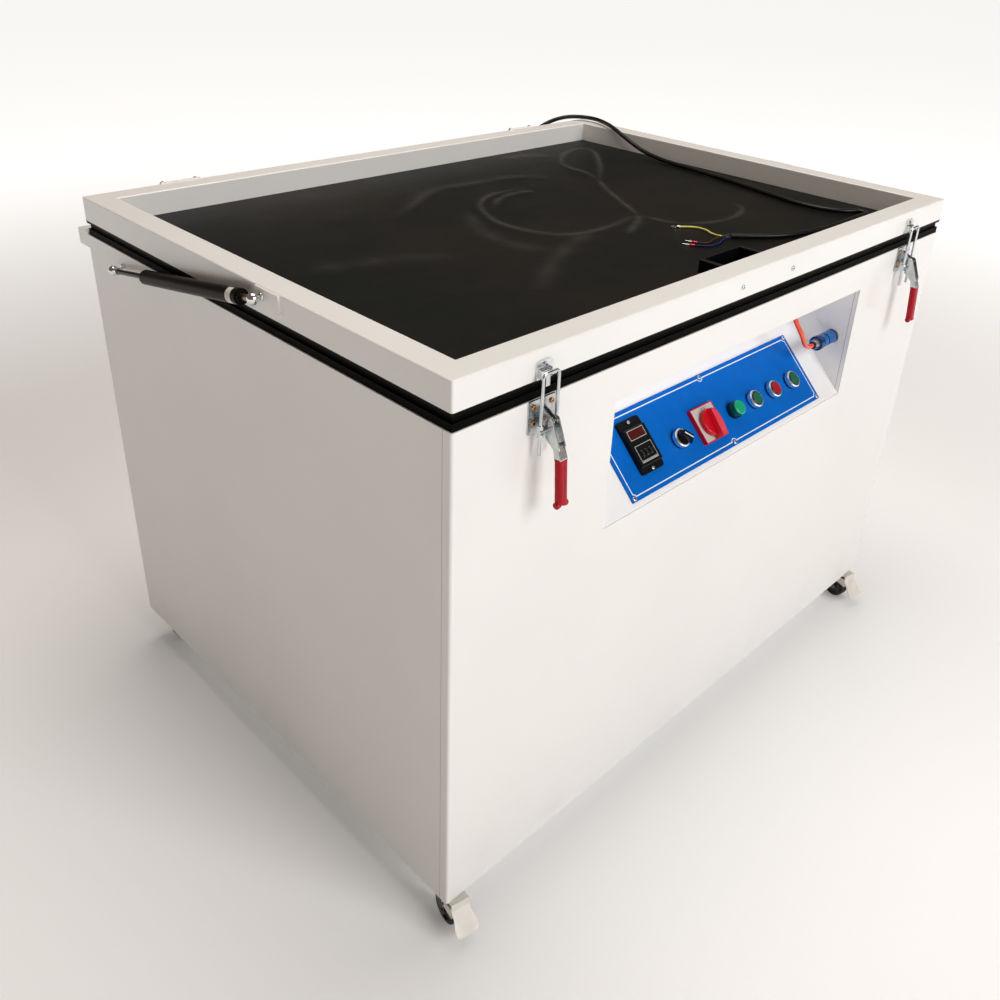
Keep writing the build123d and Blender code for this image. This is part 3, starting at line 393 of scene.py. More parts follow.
def pocket_joint(paint):
    """The fold line of the pocket's cheeks and the shadow gap under the edge of its roof."""
    cheek = inside(paint.y, -437.0, 0.5) & (abs(paint.x) > 322.5)
    # the second mask is painted shadow under the edge of the pocket's roof
    return cheek | (paint.y < -441.0) & (paint.z > 778.0) & (abs(paint.x) < 323.0)


def hinge_bolts(paint):
    """The hinge screws and knuckles behind the lid."""
    screw = nearest(paint.x, -460.0, -400.0, 365.0, 425.0) < 6.0
    return (paint.y > 448.3) & screw | (paint.y > 445.5) & (paint.z < 852.0)


def rail_knuckles(paint):
    return paint.z > 835.3


def control_blue():
    paint = Paint("blue_control_plate", (0.0, 0.125, 0.52), 0.36, specular_ior_level=0.12)
    x, s, _ = paint.on_panel()
    edge = (abs(x - PLATE_X) - 251.0) | (abs(s - PLATE_S) - 56.5)
    to_screw_x, to_screw_s = nearest(x, *PLATE_SCREWS_X), abs(abs(s - PLATE_S) - PLATE_SCREW_ROW)
    reach = span(to_screw_x, to_screw_s)
    line = (abs(edge) < 0.8) & (reach > 6.4) | (abs(reach - 6.4) < 0.7) & (edge < 0.9)
    paint.feed("Base Color", paint.mix(line, paint.tint(30, 0.05), (0.80, 0.88, 0.93)))
    paint.feed("Roughness", 0.28 + 0.14 * paint.noise(60, 3))
    return paint.relief(paint.noise(700, 2) + line * 0.5, 0.03)


def black_seal():
    paint = Paint("black_seal_rubber", (0.002, 0.002, 0.0015), 0.5, specular_ior_level=0.03)
    dust = paint.noise(35, 5).rise(0.5, 0.9) * 0.2
    paint.feed("Base Color", paint.mix(dust, (0.0018, 0.0018, 0.0014), (0.012, 0.011, 0.010)))
    paint.feed("Roughness", 0.40 + 0.2 * paint.noise(50, 3))
    rib = (paint.z * 1.9).wave()
    return paint.relief(rib * 0.5 + paint.noise(260, 3), 0.3)


def blanket_rubber():
    """Black rubber with a brown bloom and chalk in patches, lighter along the folds as a painted highlight
    with some rubbed chalk.
    """
    paint = Paint("blanket_rubber", (0.006, 0.006, 0.006), 0.45, specular_ior_level=0.10)
    patch = paint.noise(2.6, 3, (1, 1.2, 1)).rise(0.40, 0.66)
    chalk = paint.noise(30, 6).rise(0.52, 0.8) * 0.45
    base = paint.mix(patch, (0.0030, 0.0042, 0.0038), (0.0090, 0.0068, 0.0052))
    base = paint.mix(chalk, base, (0.0115, 0.0108, 0.0094))
    fold_highlight = paint.node("ShaderNodeAttribute", {"attribute_name": "fold_highlight"}, {}, "Fac")
    # painted highlight along the fold crests, with some rubbed chalk
    rubbed = fold_highlight * (0.35 + 0.65 * paint.noise(60, 4))
    paint.feed("Base Color", paint.mix(rubbed, base, (0.060, 0.054, 0.050)))
    paint.feed("Roughness", 0.36 + 0.16 * paint.noise(5, 4) + rubbed * 0.08)
    return paint.relief(paint.noise(900, 2) * 0.3 + paint.noise(26, 4), 0.45)


def rubber(name, colour, roughness=0.5, gloss=0.5):
    paint = Paint(name, colour, roughness, specular_ior_level=gloss)
    paint.feed("Base Color", paint.tint(80, 0.25))
    paint.feed("Roughness", (roughness - 0.08) + 0.16 * paint.noise(120, 3))
    return paint.relief(paint.noise(500, 3), 0.2)


def plastic(name, colour, roughness=0.25, coat=0.3, gloss=0.5):
    paint = Paint(name, colour, roughness, coat_weight=coat, coat_roughness=0.1, specular_ior_level=gloss)
    paint.feed("Base Color", paint.tint(60, 0.08))
    paint.feed("Roughness", (roughness - 0.05) + 0.1 * paint.noise(150, 3))
    return paint.relief(paint.noise(800, 2), 0.04)


def metal(name, colour, roughness=0.25, stretch=(1, 1, 1), gloss=0.5):
    paint = Paint(name, colour, roughness, 1.0, specular_ior_level=gloss)
    paint.feed("Base Color", paint.tint(45, 0.12))
    paint.feed("Roughness", (roughness - 0.08) + 0.16 * paint.noise(220, 4, stretch))
    return paint.relief(paint.noise(600, 3, stretch), 0.05)


def slotted(paint, slot):
    """Darkens the cross recesses of screws with painted shade, and sinks them."""
    paint.feed("Base Color", paint.mix(slot, paint.tint(45, 0.12), (0.03, 0.03, 0.03)))
    return paint.relief(paint.noise(600, 3) * 0.1 - slot, 0.5)


def cabinet_screws():
    """Bright screws of the control plate, the timer and the rear sheet."""
    paint = metal("screw_zinc", (0.84, 0.85, 0.85), 0.3)
    x, s, n = paint.on_panel()
    plate = cross_slot(nearest(x, *PLATE_SCREWS_X), abs(abs(s - PLATE_S) - PLATE_SCREW_ROW))
    plate = plate & inside(n, 4.0, 0.8)
    timer = cross_slot(abs(x - TIMER_X), abs(abs(s - 78.8) - 37.4), 1.2, 0.35) & (n > 6.9) & (n < 9.0)
    rear = cross_slot(nearest(abs(x), 190.0, 570.0), nearest(paint.z, 95.0, 450.0, 790.0), 2.6, 0.6)
    return slotted(paint, plate | timer | rear & (paint.y > 446.0))


def lid_screws():
    """Bright catches and studs of the lid, with the cross recesses of its screws."""
    paint = metal("catch_zinc", (0.66, 0.68, 0.69), 0.22)
    port = cross_slot(nearest(paint.x, -58.7, 74.4), abs(paint.z - 872.0), 2.2, 0.55)
    catch = cross_slot(abs(abs(paint.x) - LATCH_X), abs(paint.z - 873.5), 2.0, 0.5) & (paint.y < -448.5)
    return slotted(paint, (port | catch) & (paint.y < -446.0))


def latch_plates():
    """Zinc, with copper-coloured screw heads on the latch bases."""
    paint = metal("zinc_latch_base", (0.50, 0.53, 0.55), 0.26)
    side, level = abs(abs(abs(paint.x) - LATCH_X) - 15.0), nearest(paint.z, 803.0, 823.0)
    front = paint.y < -447.2
    head = (side < 4.0) & (level < 4.0) & front
    slot = cross_slot(side, level, 2.2, 0.5) & front
    copper = paint.mix(paint.noise(90), (0.50, 0.22, 0.08), (0.74, 0.42, 0.20))
    base = paint.mix(head, paint.tint(60, 0.14), copper)
    # painted shade in the cross recesses of the screw heads
    paint.feed("Base Color", paint.mix(slot, base, (0.05, 0.03, 0.015)))
    return paint.relief(paint.noise(600, 3) * 0.1 - slot, 0.5)


def latch_lever():
    """Zinc-plated lever with its lower part dipped in red vinyl, which has a long groove darkened with
    painted shade.
    """
    paint = metal("latch_lever", (0.54, 0.57, 0.58), 0.24, (1, 1, 1), 0.2)
    side = abs(abs(paint.x) - LATCH_X)
    vinyl = paint.z < 764.5
    groove = (side < 1.5) & vinyl & (paint.y < -480.0) & (paint.z > 716.0) & (paint.z < 757.0)
    red = paint.mix(paint.noise(40), (0.34, 0.002, 0.011), (0.44, 0.004, 0.017))
    # painted shade in the groove
    red = paint.mix(groove, red, (0.25, 0.002, 0.008))
    paint.feed("Base Color", paint.mix(vinyl, paint.tint(60, 0.14), red))
    paint.feed("Metallic", 1 - vinyl)
    paint.feed("Roughness", 0.15 + 0.14 * paint.noise(180, 3))
    return paint.relief(paint.noise(300, 3) * 0.15 - (1.5 - side) * groove * 0.6, 0.5)


def strut_tube():
    """Black enamel tube with a plain pale band, a brass neck and a bright ball socket."""
    paint = Paint("strut_tube", (0.0045, 0.0030, 0.0022), 0.35, specular_ior_level=0.07)
    run = paint.along(STRUT_FOOT, STRUT_AXIS)
    band = (run > 369.0) & (run < 382.0) & (abs(paint.x) > STRUT_X + 1.5)
    neck = (run > 397.0) & (run < 412.0)
    socket = run > 412.0
    print_fade = paint.noise(160, 3).rise(0.4, 0.7) * 0.25
    label = paint.mix(print_fade, (0.66, 0.64, 0.60), (0.45, 0.43, 0.40))
    base = paint.mix(band, paint.tint(50, 0.2), label)
    base = paint.mix(neck, base, (0.40, 0.33, 0.24))
    paint.feed("Base Color", paint.mix(socket, base, (0.74, 0.74, 0.75)))
    paint.feed("Metallic", neck | socket)
    paint.feed("Roughness", 0.24 + 0.12 * paint.noise(90, 3) - socket * 0.12)
    return paint.relief(paint.noise(500, 2), 0.04)


def strut_rod():
    """Blackened rod with a bright collar and ball socket."""
    paint = Paint("strut_rod", (0.012, 0.010, 0.009), 0.2, 1.0)
    run = paint.along(STRUT_FOOT, STRUT_AXIS)
    socket = run < 18.0
    base = paint.mix(socket, paint.tint(60, 0.3), (0.74, 0.74, 0.75))
    paint.feed("Base Color", base)
    paint.feed("Roughness", 0.12 + 0.12 * paint.noise(150, 4, (1, 0.05, 1)))
    return paint.relief(paint.noise(400, 3, (1, 0.1, 1)), 0.04)


def castor_wheel():
    """Dark wheel body with a softer, duller tread and a scuffed rim."""
    paint = Paint("castor_wheel", (0.035, 0.034, 0.030), 0.5, specular_ior_level=0.3)
    reach = None
    for corner in ("front_left", "front_right", "rear_left", "rear_right"):
        low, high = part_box(f"castor_wheel_{corner}")
        centre = (low + high) / 2 / MM
        gap = span(paint.x - centre[0], paint.y - centre[1], paint.z - centre[2])
        reach = reach & gap if reach else gap
    tread = reach > 20.5
    dust = paint.noise(90, 5).rise(0.55, 0.8) * tread * 0.5
    base = paint.mix(tread, paint.tint(120, 0.2), (0.009, 0.009, 0.008))
    paint.feed("Base Color", paint.mix(dust, base, (0.16, 0.15, 0.13)))
    paint.feed("Roughness", 0.34 + 0.2 * paint.noise(150, 4) + tread * 0.15)
    return paint.relief(paint.noise(420, 4), 0.2)


def castor_fork():
    """Dark pressed steel with worn zinc edges."""
    paint = metal("castor_fork", (0.30, 0.30, 0.30), 0.36)
    worn = paint.noise(70, 5).rise(0.5, 0.75)
    return paint.feed("Base Color", paint.mix(worn, (0.06, 0.06, 0.06), (0.36, 0.36, 0.35)))


def brake_cream():
    """Cream plastic pedal with scuffs, and darker brown patches on its upright."""
    paint = Paint("pedal_cream", (0.74, 0.70, 0.64), 0.42, coat_weight=0.15)
    scuff = paint.noise(75, 6).rise(0.58, 0.8) * 0.5
    upright_patches = paint.noise(28, 3).rise(0.62, 0.7) * paint.z.rise(46, 56) * 0.7
    base = paint.mix(scuff, paint.tint(40, 0.08), (0.50, 0.46, 0.40))
    paint.feed("Base Color", paint.mix(upright_patches, base, (0.30, 0.22, 0.13)))
    paint.feed("Roughness", 0.36 + 0.2 * paint.noise(120, 3))
    return paint.relief(paint.noise(500, 3), 0.1)


def coupler_core():
    """Grey washer at the cheek, silver collar and black hose ring."""
    paint = metal("coupler_core", (0.78, 0.78, 0.79), 0.3)
    ring = paint.x < 257.5
    washer = paint.x > 319.0
    base = paint.mix(washer, paint.tint(70, 0.15), (0.56, 0.57, 0.58))
    paint.feed("Base Color", paint.mix(ring, base, (0.008, 0.008, 0.009)))
    return paint.feed("Metallic", 1 - ring)


def coupler_sleeve():
    """Blue anodised sleeve with a darker ring in front, painted shade in its grooves, and fine knurling
    between them.
    """
    paint = Paint("coupler_blue", (0.001, 0.105, 0.36), 0.24, specular_ior_level=0.3, coat_weight=0.2)
    front = paint.x < 276.0
    band = inside(paint.x, 285.0, 5.5)
    groove = inside(paint.x, 277.5, 1.5) | inside(paint.x, 292.5, 1.5)
    base = paint.mix(front, paint.tint(60, 0.15), (0.001, 0.035, 0.16))
    # painted shade in the two grooves
    paint.feed("Base Color", paint.mix(groove, base, (0.002, 0.030, 0.10)))
    paint.feed("Roughness", 0.16 + 0.1 * paint.noise(150, 3))
    knurl = ((paint.y + paint.x) * 3.4).wave() * ((paint.y - paint.x) * 3.4).wave()
    return paint.relief(paint.noise(600, 2) * 0.1 + knurl * band * 0.5, 0.12)


def bed_glass():
    paint = Paint("bed_glass", (0.80, 0.90, 0.87), 0.03, transmission_weight=1.0, ior=1.5)
    paint.feed("Base Color", paint.mix(paint.noise(3), (0.78, 0.90, 0.86), (0.84, 0.93, 0.90)))
    return paint.feed("Roughness", 0.02 + 0.03 * paint.noise(30, 4))


def insulation(name, first, second):
    """Wire insulation, striped where it has two colours."""
    paint = Paint(name, first, 0.35, specular_ior_level=0.2)
    stripe = ((paint.x + paint.y * 0.4 + paint.z * 3.0) * 1.4).wave() > 0.7
    paint.feed("Base Color", paint.mix(stripe, paint.tint(200, 0.1), second))
    return paint.relief(paint.noise(900, 2), 0.03)


def button_cap(name, colour, middle):
    """A button cap with its edge painted black, as painted shade of the gap round it."""
    paint = plastic(name, colour, 0.22, 0.5)
    x, s, _ = paint.on_panel()
    edge = span(x - middle, s - CONTROL_ROW) > CAP_EDGE
    # painted shade at the cap's edge, where the gap to the bezel is
    return paint.feed("Base Color", paint.mix(edge, paint.tint(60, 0.08), (0.006, 0.008, 0.008)))


def bezel_chrome():
    """Chrome rings, black below 5 mm from the plate, with painted shade in the gap round their caps."""
    paint = metal("bezel_chrome", (0.95, 0.955, 0.96), 0.28)
    x, s, n = paint.on_panel()
    reach = span(nearest(x, SELECTOR_X, START_X, STOP_X, EXPOSURE_X), s - CONTROL_ROW)
    # black low down, and painted shade in the gap round the caps
    dark_foot_and_gap_shade = (n < 5.0) | (reach < BEZEL_GAP)
    paint.feed("Base Color", paint.mix(dark_foot_and_gap_shade, paint.tint(45, 0.06), (0.004, 0.005, 0.007)))
    return paint.feed("Metallic", 1 - dark_foot_and_gap_shade)


def indicator_green():
    """Green lens over a black collar, its sides painted darker than its face as painted shade, with the fine
    ribs of its diffuser.
    """
    paint = Paint("green_lens", (0.001, 0.40, 0.19), 0.18, coat_weight=0.3, coat_roughness=0.08)
    x, s, n = paint.on_panel()
    # painted shade: the lens's sides are darker green than its lit face
    lens = paint.mix(n > 18.5, (0.001, 0.075, 0.040), (0.001, 0.40, 0.19))
    lens = paint.mix(paint.noise(70, 3) * 0.3, lens, (0.002, 0.26, 0.12))
    paint.feed("Base Color", paint.mix(n < 8.05, lens, (0.006, 0.007, 0.007)))
    paint.feed("Roughness", 0.14 + 0.1 * paint.noise(150, 3))
    rib = ((x * x + s * s) * 0.02).wave()
    return paint.relief(rib * 0.3 + paint.noise(500, 2) * 0.3, 0.04)


def selector_black():
    """Black knob with a white pointer line along its lever."""
    paint = plastic("knob_black", (0.004, 0.004, 0.005), 0.24, 0.2, 0.3)
    x, s, n = paint.on_panel()
    turn = math.radians(SELECTOR_TURN)
    lever = Vector((-math.sin(turn), math.cos(turn)))
    gap_x, gap_s = x - SELECTOR_X, s - CONTROL_ROW
    run = gap_x * lever.x + gap_s * lever.y
    across = abs(gap_x * lever.y - gap_s * lever.x)
    mark = (across < 1.1) & (run > -7.0) & (run < 14.0) & (n > 20.0)
    return paint.feed("Base Color", paint.mix(mark, paint.tint(60, 0.08), (0.78, 0.78, 0.77)))


def timer_black():
    """Black timer: grey window frames, dark red glass, and a hatched strip under the wheels."""
    paint = plastic("timer_black", (0.0035, 0.0045, 0.0045), 0.34, 0.0, 0.2)
    x, s, n = paint.on_panel()
    face = n > 10.3
    window_x, window_s = TIMER_X - 0.4, 96.5
    line = frame_line(x, s, (window_x, window_s), (17.8, 7.7), 0.9)
    line = line | frame_line(x, s, (TIMER_X, 66.4), (18.2, 13.4), 0.8)
    hatch = inside(s, 54.7, 1.7) & (abs(x - TIMER_X) < 17.0) & ((x * 2.9 + s * 1.2).wave() > -0.3)
    glass = (abs(x - window_x) < 16.9) & inside(s, window_s, 6.8)
    base = paint.mix(glass & face, paint.tint(60, 0.08), (0.075, 0.010, 0.008))
    paint.feed("Base Color", paint.mix((line | hatch) & face, base, (0.50, 0.50, 0.48)))
    paint.feed("Roughness", 0.26 + 0.1 * paint.noise(150, 3) - (glass & face) * 0.18)
    return paint.relief(paint.noise(700, 2) * 0.3 - glass * face * 1.5, 0.12)


def switch_red():
    """Red main switch: an off-white face inside its rim, the grip painted lighter red as painted light, and
    a screw hole in the grip painted dark as painted shade.
    """
    paint = plastic("switch_red", (0.60, 0.003, 0.014), 0.26, 0.2, 0.3)
    x, s, n = paint.on_panel()
    face = (n > 8.6) & (n < 9.2) & (abs(x + 33.0) < 26.8) & (abs(s - 61.5) < 27.8)
    tick = (abs(x + 34.0) < 0.6) & inside(s, 85.0, 2.2) | (abs(x + 27.0) < 0.6) & inside(s, 84.5, 1.6)
    # painted light: the grip above 17.6 mm is lighter red than the parts below it
    grip_lit_red = paint.mix(n > 17.6, (0.56, 0.003, 0.013), (0.80, 0.012, 0.030))
    ivory = paint.mix(tick, paint.tint(25, 0.05, (0.56, 0.52, 0.49)), (0.16, 0.15, 0.14))
    base = paint.mix(face, grip_lit_red, ivory)
    # painted shade inside the screw hole
    hole = (paint.away(SWITCH_HOLE, (0.6, 0, 0.8)) < 1.9) & (n > 12.0)
    paint.feed("Base Color", paint.mix(hole, base, (0.03, 0.001, 0.002)))
    paint.feed("Roughness", 0.2 + 0.1 * paint.noise(150, 3) + face * 0.2)
    return paint.relief(paint.noise(600, 2) * 0.3 - hole, 0.2)


def lamp_parts():
    """Bright reflector sheet, with the lamp's quartz tube and ceramic ends across it."""
    paint = metal("reflector_sheet", (0.75, 0.75, 0.76), 0.14, (0.1, 1, 1))
    lamp = paint.away((0, 40, 165), (1, 0, 0)) < 16.6
    ceramic = lamp & (abs(paint.x) > 149.5)
    base = paint.mix(lamp, paint.tint(45, 0.1), (0.62, 0.66, 0.74))
    paint.feed("Base Color", paint.mix(ceramic, base, (0.70, 0.66, 0.58)))
    return paint.feed("Metallic", 1 - lamp)


def gear_parts():
    """Grey ballast, aluminium capacitors and a black contactor."""
    paint = Paint("control_gear", (0.16, 0.17, 0.17), 0.5)
    can = (paint.y > 90.0) * 1.0
    contactor = paint.y < -110.0
    base = paint.mix(can, paint.tint(40, 0.15), (0.60, 0.60, 0.60))
    paint.feed("Base Color", paint.mix(contactor, base, (0.012, 0.012, 0.013)))
    paint.feed("Metallic", can)
    paint.feed("Roughness", 0.34 + 0.2 * paint.noise(90, 4))
    rib = (paint.z * 1.2).wave() * contactor
    return paint.relief(paint.noise(300, 3) * 0.3 + rib * 0.4, 0.3)


def pump_parts():
    """Dark pump head and a lighter finned motor on a foot plate."""
    paint = Paint("pump_enamel", (0.05, 0.06, 0.07), 0.4, coat_weight=0.2)
    motor = (paint.x > 330.5) & (paint.z > 78.0)
    paint.feed("Base Color", paint.mix(motor, paint.tint(30, 0.15), (0.30, 0.31, 0.32)))
    paint.feed("Roughness", 0.34 + 0.16 * paint.noise(90, 4))
    return paint.relief(paint.noise(300, 3) * 0.2 + (paint.x * 0.9).wave() * motor, 0.8)


def finish_of(paint, *names):
    """Gives CAD nodes a material of their own."""
    for name in names:
        data = NODES[name].data
        data.materials.clear()
        data.materials.append(paint.material)


GREEN_CAP = (0.002, 0.135, 0.075)
ZINC = metal("bright_zinc", (0.56, 0.59, 0.60), 0.24)
BLACK = plastic("black_plastic", (0.003, 0.003, 0.0035), 0.34, 0.0, 0.2)
FORK = castor_fork()
WHEEL = castor_wheel()

finish_of(powder_white(), "rear_panel", "bottom_panel", "top_rim")
finish_of(powder_white("cabinet_white", sheet_joint), "front_panel", "side_panels")
# the pocket's white is painted lighter than the cabinet's, as painted light in the shaded pocket
finish_of(powder_white("pocket_white_painted_light", pocket_joint, None, (0.90, 0.895, 0.90)), "control_recess")
finish_of(powder_white("lid_white", None, (hinge_bolts, (0.34, 0.28, 0.22))), "lid_frame")
finish_of(powder_white("rail_white", None, (rail_knuckles, (0.40, 0.36, 0.31))), "hinge_rail")
finish_of(control_blue(), "control_plate")
finish_of(black_seal(), "rim_seal")
finish_of(plastic("clamp_strip_black", (0.003, 0.003, 0.003), 0.4, 0.0, 0.03), "blanket_clamp")
finish_of(bed_glass(), "glass_plate")
finish_of(plastic("grey_primer", (0.16, 0.17, 0.17), 0.6, 0.0), "inner_frame")
finish_of(gear_parts(), "control_gear")
finish_of(pump_parts(), "vacuum_pump")
finish_of(lamp_parts(), "lamp_housing")
finish_of(metal("shutter_sheet", (0.72, 0.72, 0.73), 0.2, (0.1, 1, 1)), "lamp_shutter")
finish_of(bezel_chrome(), "control_bezels")
finish_of(indicator_green(), "indicator_lamp")
finish_of(selector_black(), "selector_knob")
finish_of(button_cap("start_green", GREEN_CAP, START_X), "start_button")
finish_of(button_cap("stop_red", (0.42, 0.004, 0.022), STOP_X), "stop_button")
finish_of(button_cap("exposure_green", GREEN_CAP, EXPOSURE_X), "exposure_button")
finish_of(switch_red(), "main_switch_base", "main_switch_handle")
finish_of(timer_black(), "timer_housing")
finish_of(
    plastic("thumbwheel_black", (0.005, 0.005, 0.006), 0.35, 0.0, 0.25),
    *(f"timer_thumbwheel_{number}" for number in (1, 2, 3)),
)
finish_of(BLACK, "vacuum_port", "cable_gland")
finish_of(coupler_core(), "coupler_body")
finish_of(coupler_sleeve(), "coupler_sleeve")
finish_of(plastic("orange_hose", (0.85, 0.075, 0.026), 0.22, 0.6), "air_hose")
finish_of(latch_plates(), "latch_bases")
finish_of(cabinet_screws(), "fasteners")
finish_of(lid_screws(), "lid_hardware")
finish_of(ZINC, "castor_plates", "latch_bow_left", "latch_bow_right")
finish_of(latch_lever(), "latch_handle_left", "latch_handle_right")
finish_of(strut_rod(), "strut_rod_left", "strut_rod_right")
finish_of(strut_tube(), "strut_tube_left", "strut_tube_right")
for corner in ("front_left", "front_right", "rear_left", "rear_right"):
    finish_of(FORK, f"castor_fork_{corner}")
    finish_of(WHEEL, f"castor_wheel_{corner}")
PEDAL = brake_cream()
finish_of(PEDAL, "brake_pedal_front_left", "brake_pedal_front_right")


# ---- pieces -----------------------------------------------------------------------------
def piece_of(name, mesh, paint, body):
    """A piece with its paint, which rides on a body."""
    mesh.name = name
    mesh.materials.clear()
    mesh.materials.append(paint.material)
    mesh.polygons.foreach_set("use_smooth", [True] * len(mesh.polygons))
    mesh.set_sharp_from_angle(angle=math.radians(40))
    piece = bpy.data.objects.new(name, mesh)
    bpy.context.scene.collection.objects.link(piece)
    if body:
        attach(piece, body)
    return piece


def mesh_of(grid):
    """The mesh of a finished bmesh, its doubles merged and its faces turned outwards."""
    bmesh.ops.remove_doubles(grid, verts=grid.verts, dist=1e-6)
    bmesh.ops.recalc_face_normals(grid, faces=grid.faces)
    mesh = bpy.data.meshes.new("mesh")
    grid.to_mesh(mesh)
    grid.free()
    return mesh


def turned(grid, profile, steps=24):
    """A round shape about Z from (reach, height) points in millimetres, added to a bmesh."""
    verts = [grid.verts.new((reach * MM, 0, height * MM)) for reach, height in profile]
    edges = [grid.edges.new(pair) for pair in zip(verts, verts[1:])]
    bmesh.ops.spin(
        grid, geom=verts + edges, cent=(0, 0, 0), axis=(0, 0, 1), angle=math.tau, steps=steps, use_merge=True
    )


def in_line(grid, place, ahead):
    """Turns a bmesh's Z towards a direction and moves it to a place in metres."""
    turn = ahead.to_track_quat("Z", "Y").to_matrix().to_4x4()
    bmesh.ops.transform(grid, matrix=Matrix.Translation(place) @ turn, verts=grid.verts)


# the mains cord
CORD_RUBBER = rubber("cord_rubber", (0.0045, 0.0045, 0.0045), 0.32, 0.3)
cord_curve = spline("cord_curve", CORD_POINTS, CORD_DIAMETER / 2)
bpy.context.view_layer.update()
cord_mesh = bpy.data.meshes.new_from_object(cord_curve)
bpy.data.objects.remove(cord_curve)
cord_path = line_points(CORD_POINTS)
cord = piece_of("mains_cord", cord_mesh, CORD_RUBBER, None)
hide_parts("cord_root", "cord_on_lid")
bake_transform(cord)

# its three cores
CORE_PAINTS = {
    "earth_wire": insulation("earth_insulation", (0.80, 0.69, 0.17), (0.40, 0.52, 0.13)),
    "live_wire": insulation("live_insulation", (0.050, 0.018, 0.009), (0.045, 0.016, 0.008)),
    "neutral_wire": insulation("neutral_insulation", (0.006, 0.012, 0.10), (0.005, 0.010, 0.09)),
}
cores = {}
for name, points in WIRES.items():
    core = spline(name, points, WIRE_DIAMETER / 2)
    core.data.materials.append(CORE_PAINTS[name].material)
    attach(core, "lid")
    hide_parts("cord_wires")
    cores[name] = core

# their crimped ends
TINNED = metal("tinned_copper", (0.76, 0.73, 0.68), 0.24)
COLLAR_RED = plastic("collar_red", (0.60, 0.008, 0.012), 0.3, 0.3)


def end_of(points):
    """Where a wire ends and which way it points there."""
    last, before = (Vector(point) * MM for point in (points[-1], points[-2]))
    return last, (last - before).normalized()


def ring_lug(points):
    """A crimped barrel with a flat neck and a ring."""
    last, ahead = end_of(points)
    grid = bmesh.new()
    turned(grid, [(1.5, -0.4), (2.0, -0.4), (2.0, 4.6), (1.7, 5.4), (0, 5.4)])
    in_line(grid, last, ahead)
    neck = bmesh.ops.create_cube(grid, size=1.0)["verts"]
    bmesh.ops.scale(grid, vec=Vector((2.6, 4.2, 1.0)) * MM, verts=neck)
    level = Matrix.Rotation(math.atan2(-ahead.x, ahead.y), 4, "Z")
    bmesh.ops.transform(grid, matrix=Matrix.Translation(last + ahead * 6.6 * MM) @ level, verts=neck)
    before = set(grid.verts)
    turned(grid, [(2.2, -0.5), (5.0, -0.5), (5.0, 0.5), (2.2, 0.5), (2.2, -0.5)], 32)
    ring = [vert for vert in grid.verts if vert not in before]
    bmesh.ops.translate(grid, vec=last + ahead * 11.0 * MM, verts=ring)
    return piece_of("earth_lug", mesh_of(grid), TINNED, "lid")


def sleeved_pin(name, points):
    """A pin with a flared red collar over the end of its wire."""
    last, ahead = end_of(points)
    grid = bmesh.new()
    turned(grid, [(1.3, -0.6), (2.1, -0.6), (1.9, 2.0), (1.6, 6.8), (1.3, 8.0), (0, 8.0)])
    in_line(grid, last, ahead)
    collar = piece_of(name, mesh_of(grid), COLLAR_RED, "lid")
    grid = bmesh.new()
    turned(grid, [(0, 7.5), (0.95, 7.5), (0.95, 19.2), (0.7, 19.8), (0, 19.8)], 16)
    in_line(grid, last, ahead)
    pin = piece_of(f"{name}_pin", mesh_of(grid), TINNED, "lid")
    pin.parent = collar
    return collar


CORE_ENDS = {
    "earth_wire": ring_lug(WIRES["earth_wire"]),
    "live_wire": sleeved_pin("live_end", WIRES["live_wire"]),
    "neutral_wire": sleeved_pin("neutral_end", WIRES["neutral_wire"]),
}
for name, core in cores.items():
    places = line_points(WIRES[name])


# the digits on the timer's three wheels
DIGIT_GREY = plastic("digit_grey", (0.34, 0.34, 0.33), 0.4, 0.0)
WHEEL_AXLE = (66.0, 4.0)
WHEEL_PITCH = 9.0
WHEEL_RADIUS = 8.5


def wheel_digits(number, shown):
    """The ten digits round one wheel, with the shown one in front."""
    grid = bmesh.new()
    for digit in range(10):
        text = bpy.data.curves.new("digit", "FONT")
        text.body = str(digit)
        text.size = 3.6 * MM
        text.align_x, text.align_y = "CENTER", "CENTER"
        text.extrude = 0.06 * MM
        text.resolution_u = 3
        carrier = bpy.data.objects.new("digit", text)
        bpy.context.scene.collection.objects.link(carrier)
        bpy.context.view_layer.update()
        flat = bpy.data.meshes.new_from_object(carrier)
        bpy.data.objects.remove(carrier)
        before = set(grid.verts)
        grid.from_mesh(flat)
        bpy.data.meshes.remove(flat)
        fresh = [vert for vert in grid.verts if vert not in before]
        about = Matrix.Rotation(math.radians(36.0 * (digit - shown)), 4, "X")
        bmesh.ops.transform(grid, matrix=about @ Matrix.Translation((0, 0, WHEEL_RADIUS * MM)), verts=fresh)
    s, n = WHEEL_AXLE
    x = TIMER_X + WHEEL_PITCH * (number - 2)
    place = Vector((x, PANEL_Y + COS45 * (s - n), PANEL_Z + COS45 * (s + n))) * MM
    tilt = Matrix.Rotation(math.radians(45.0), 4, "X")
    bmesh.ops.transform(grid, matrix=Matrix.Translation(place) @ tilt, verts=grid.verts)
    mesh = bpy.data.meshes.new("digits")
    grid.to_mesh(mesh)
    grid.free()
    return piece_of(f"digits_{number}", mesh, DIGIT_GREY, f"timer_thumbwheel_{number}")


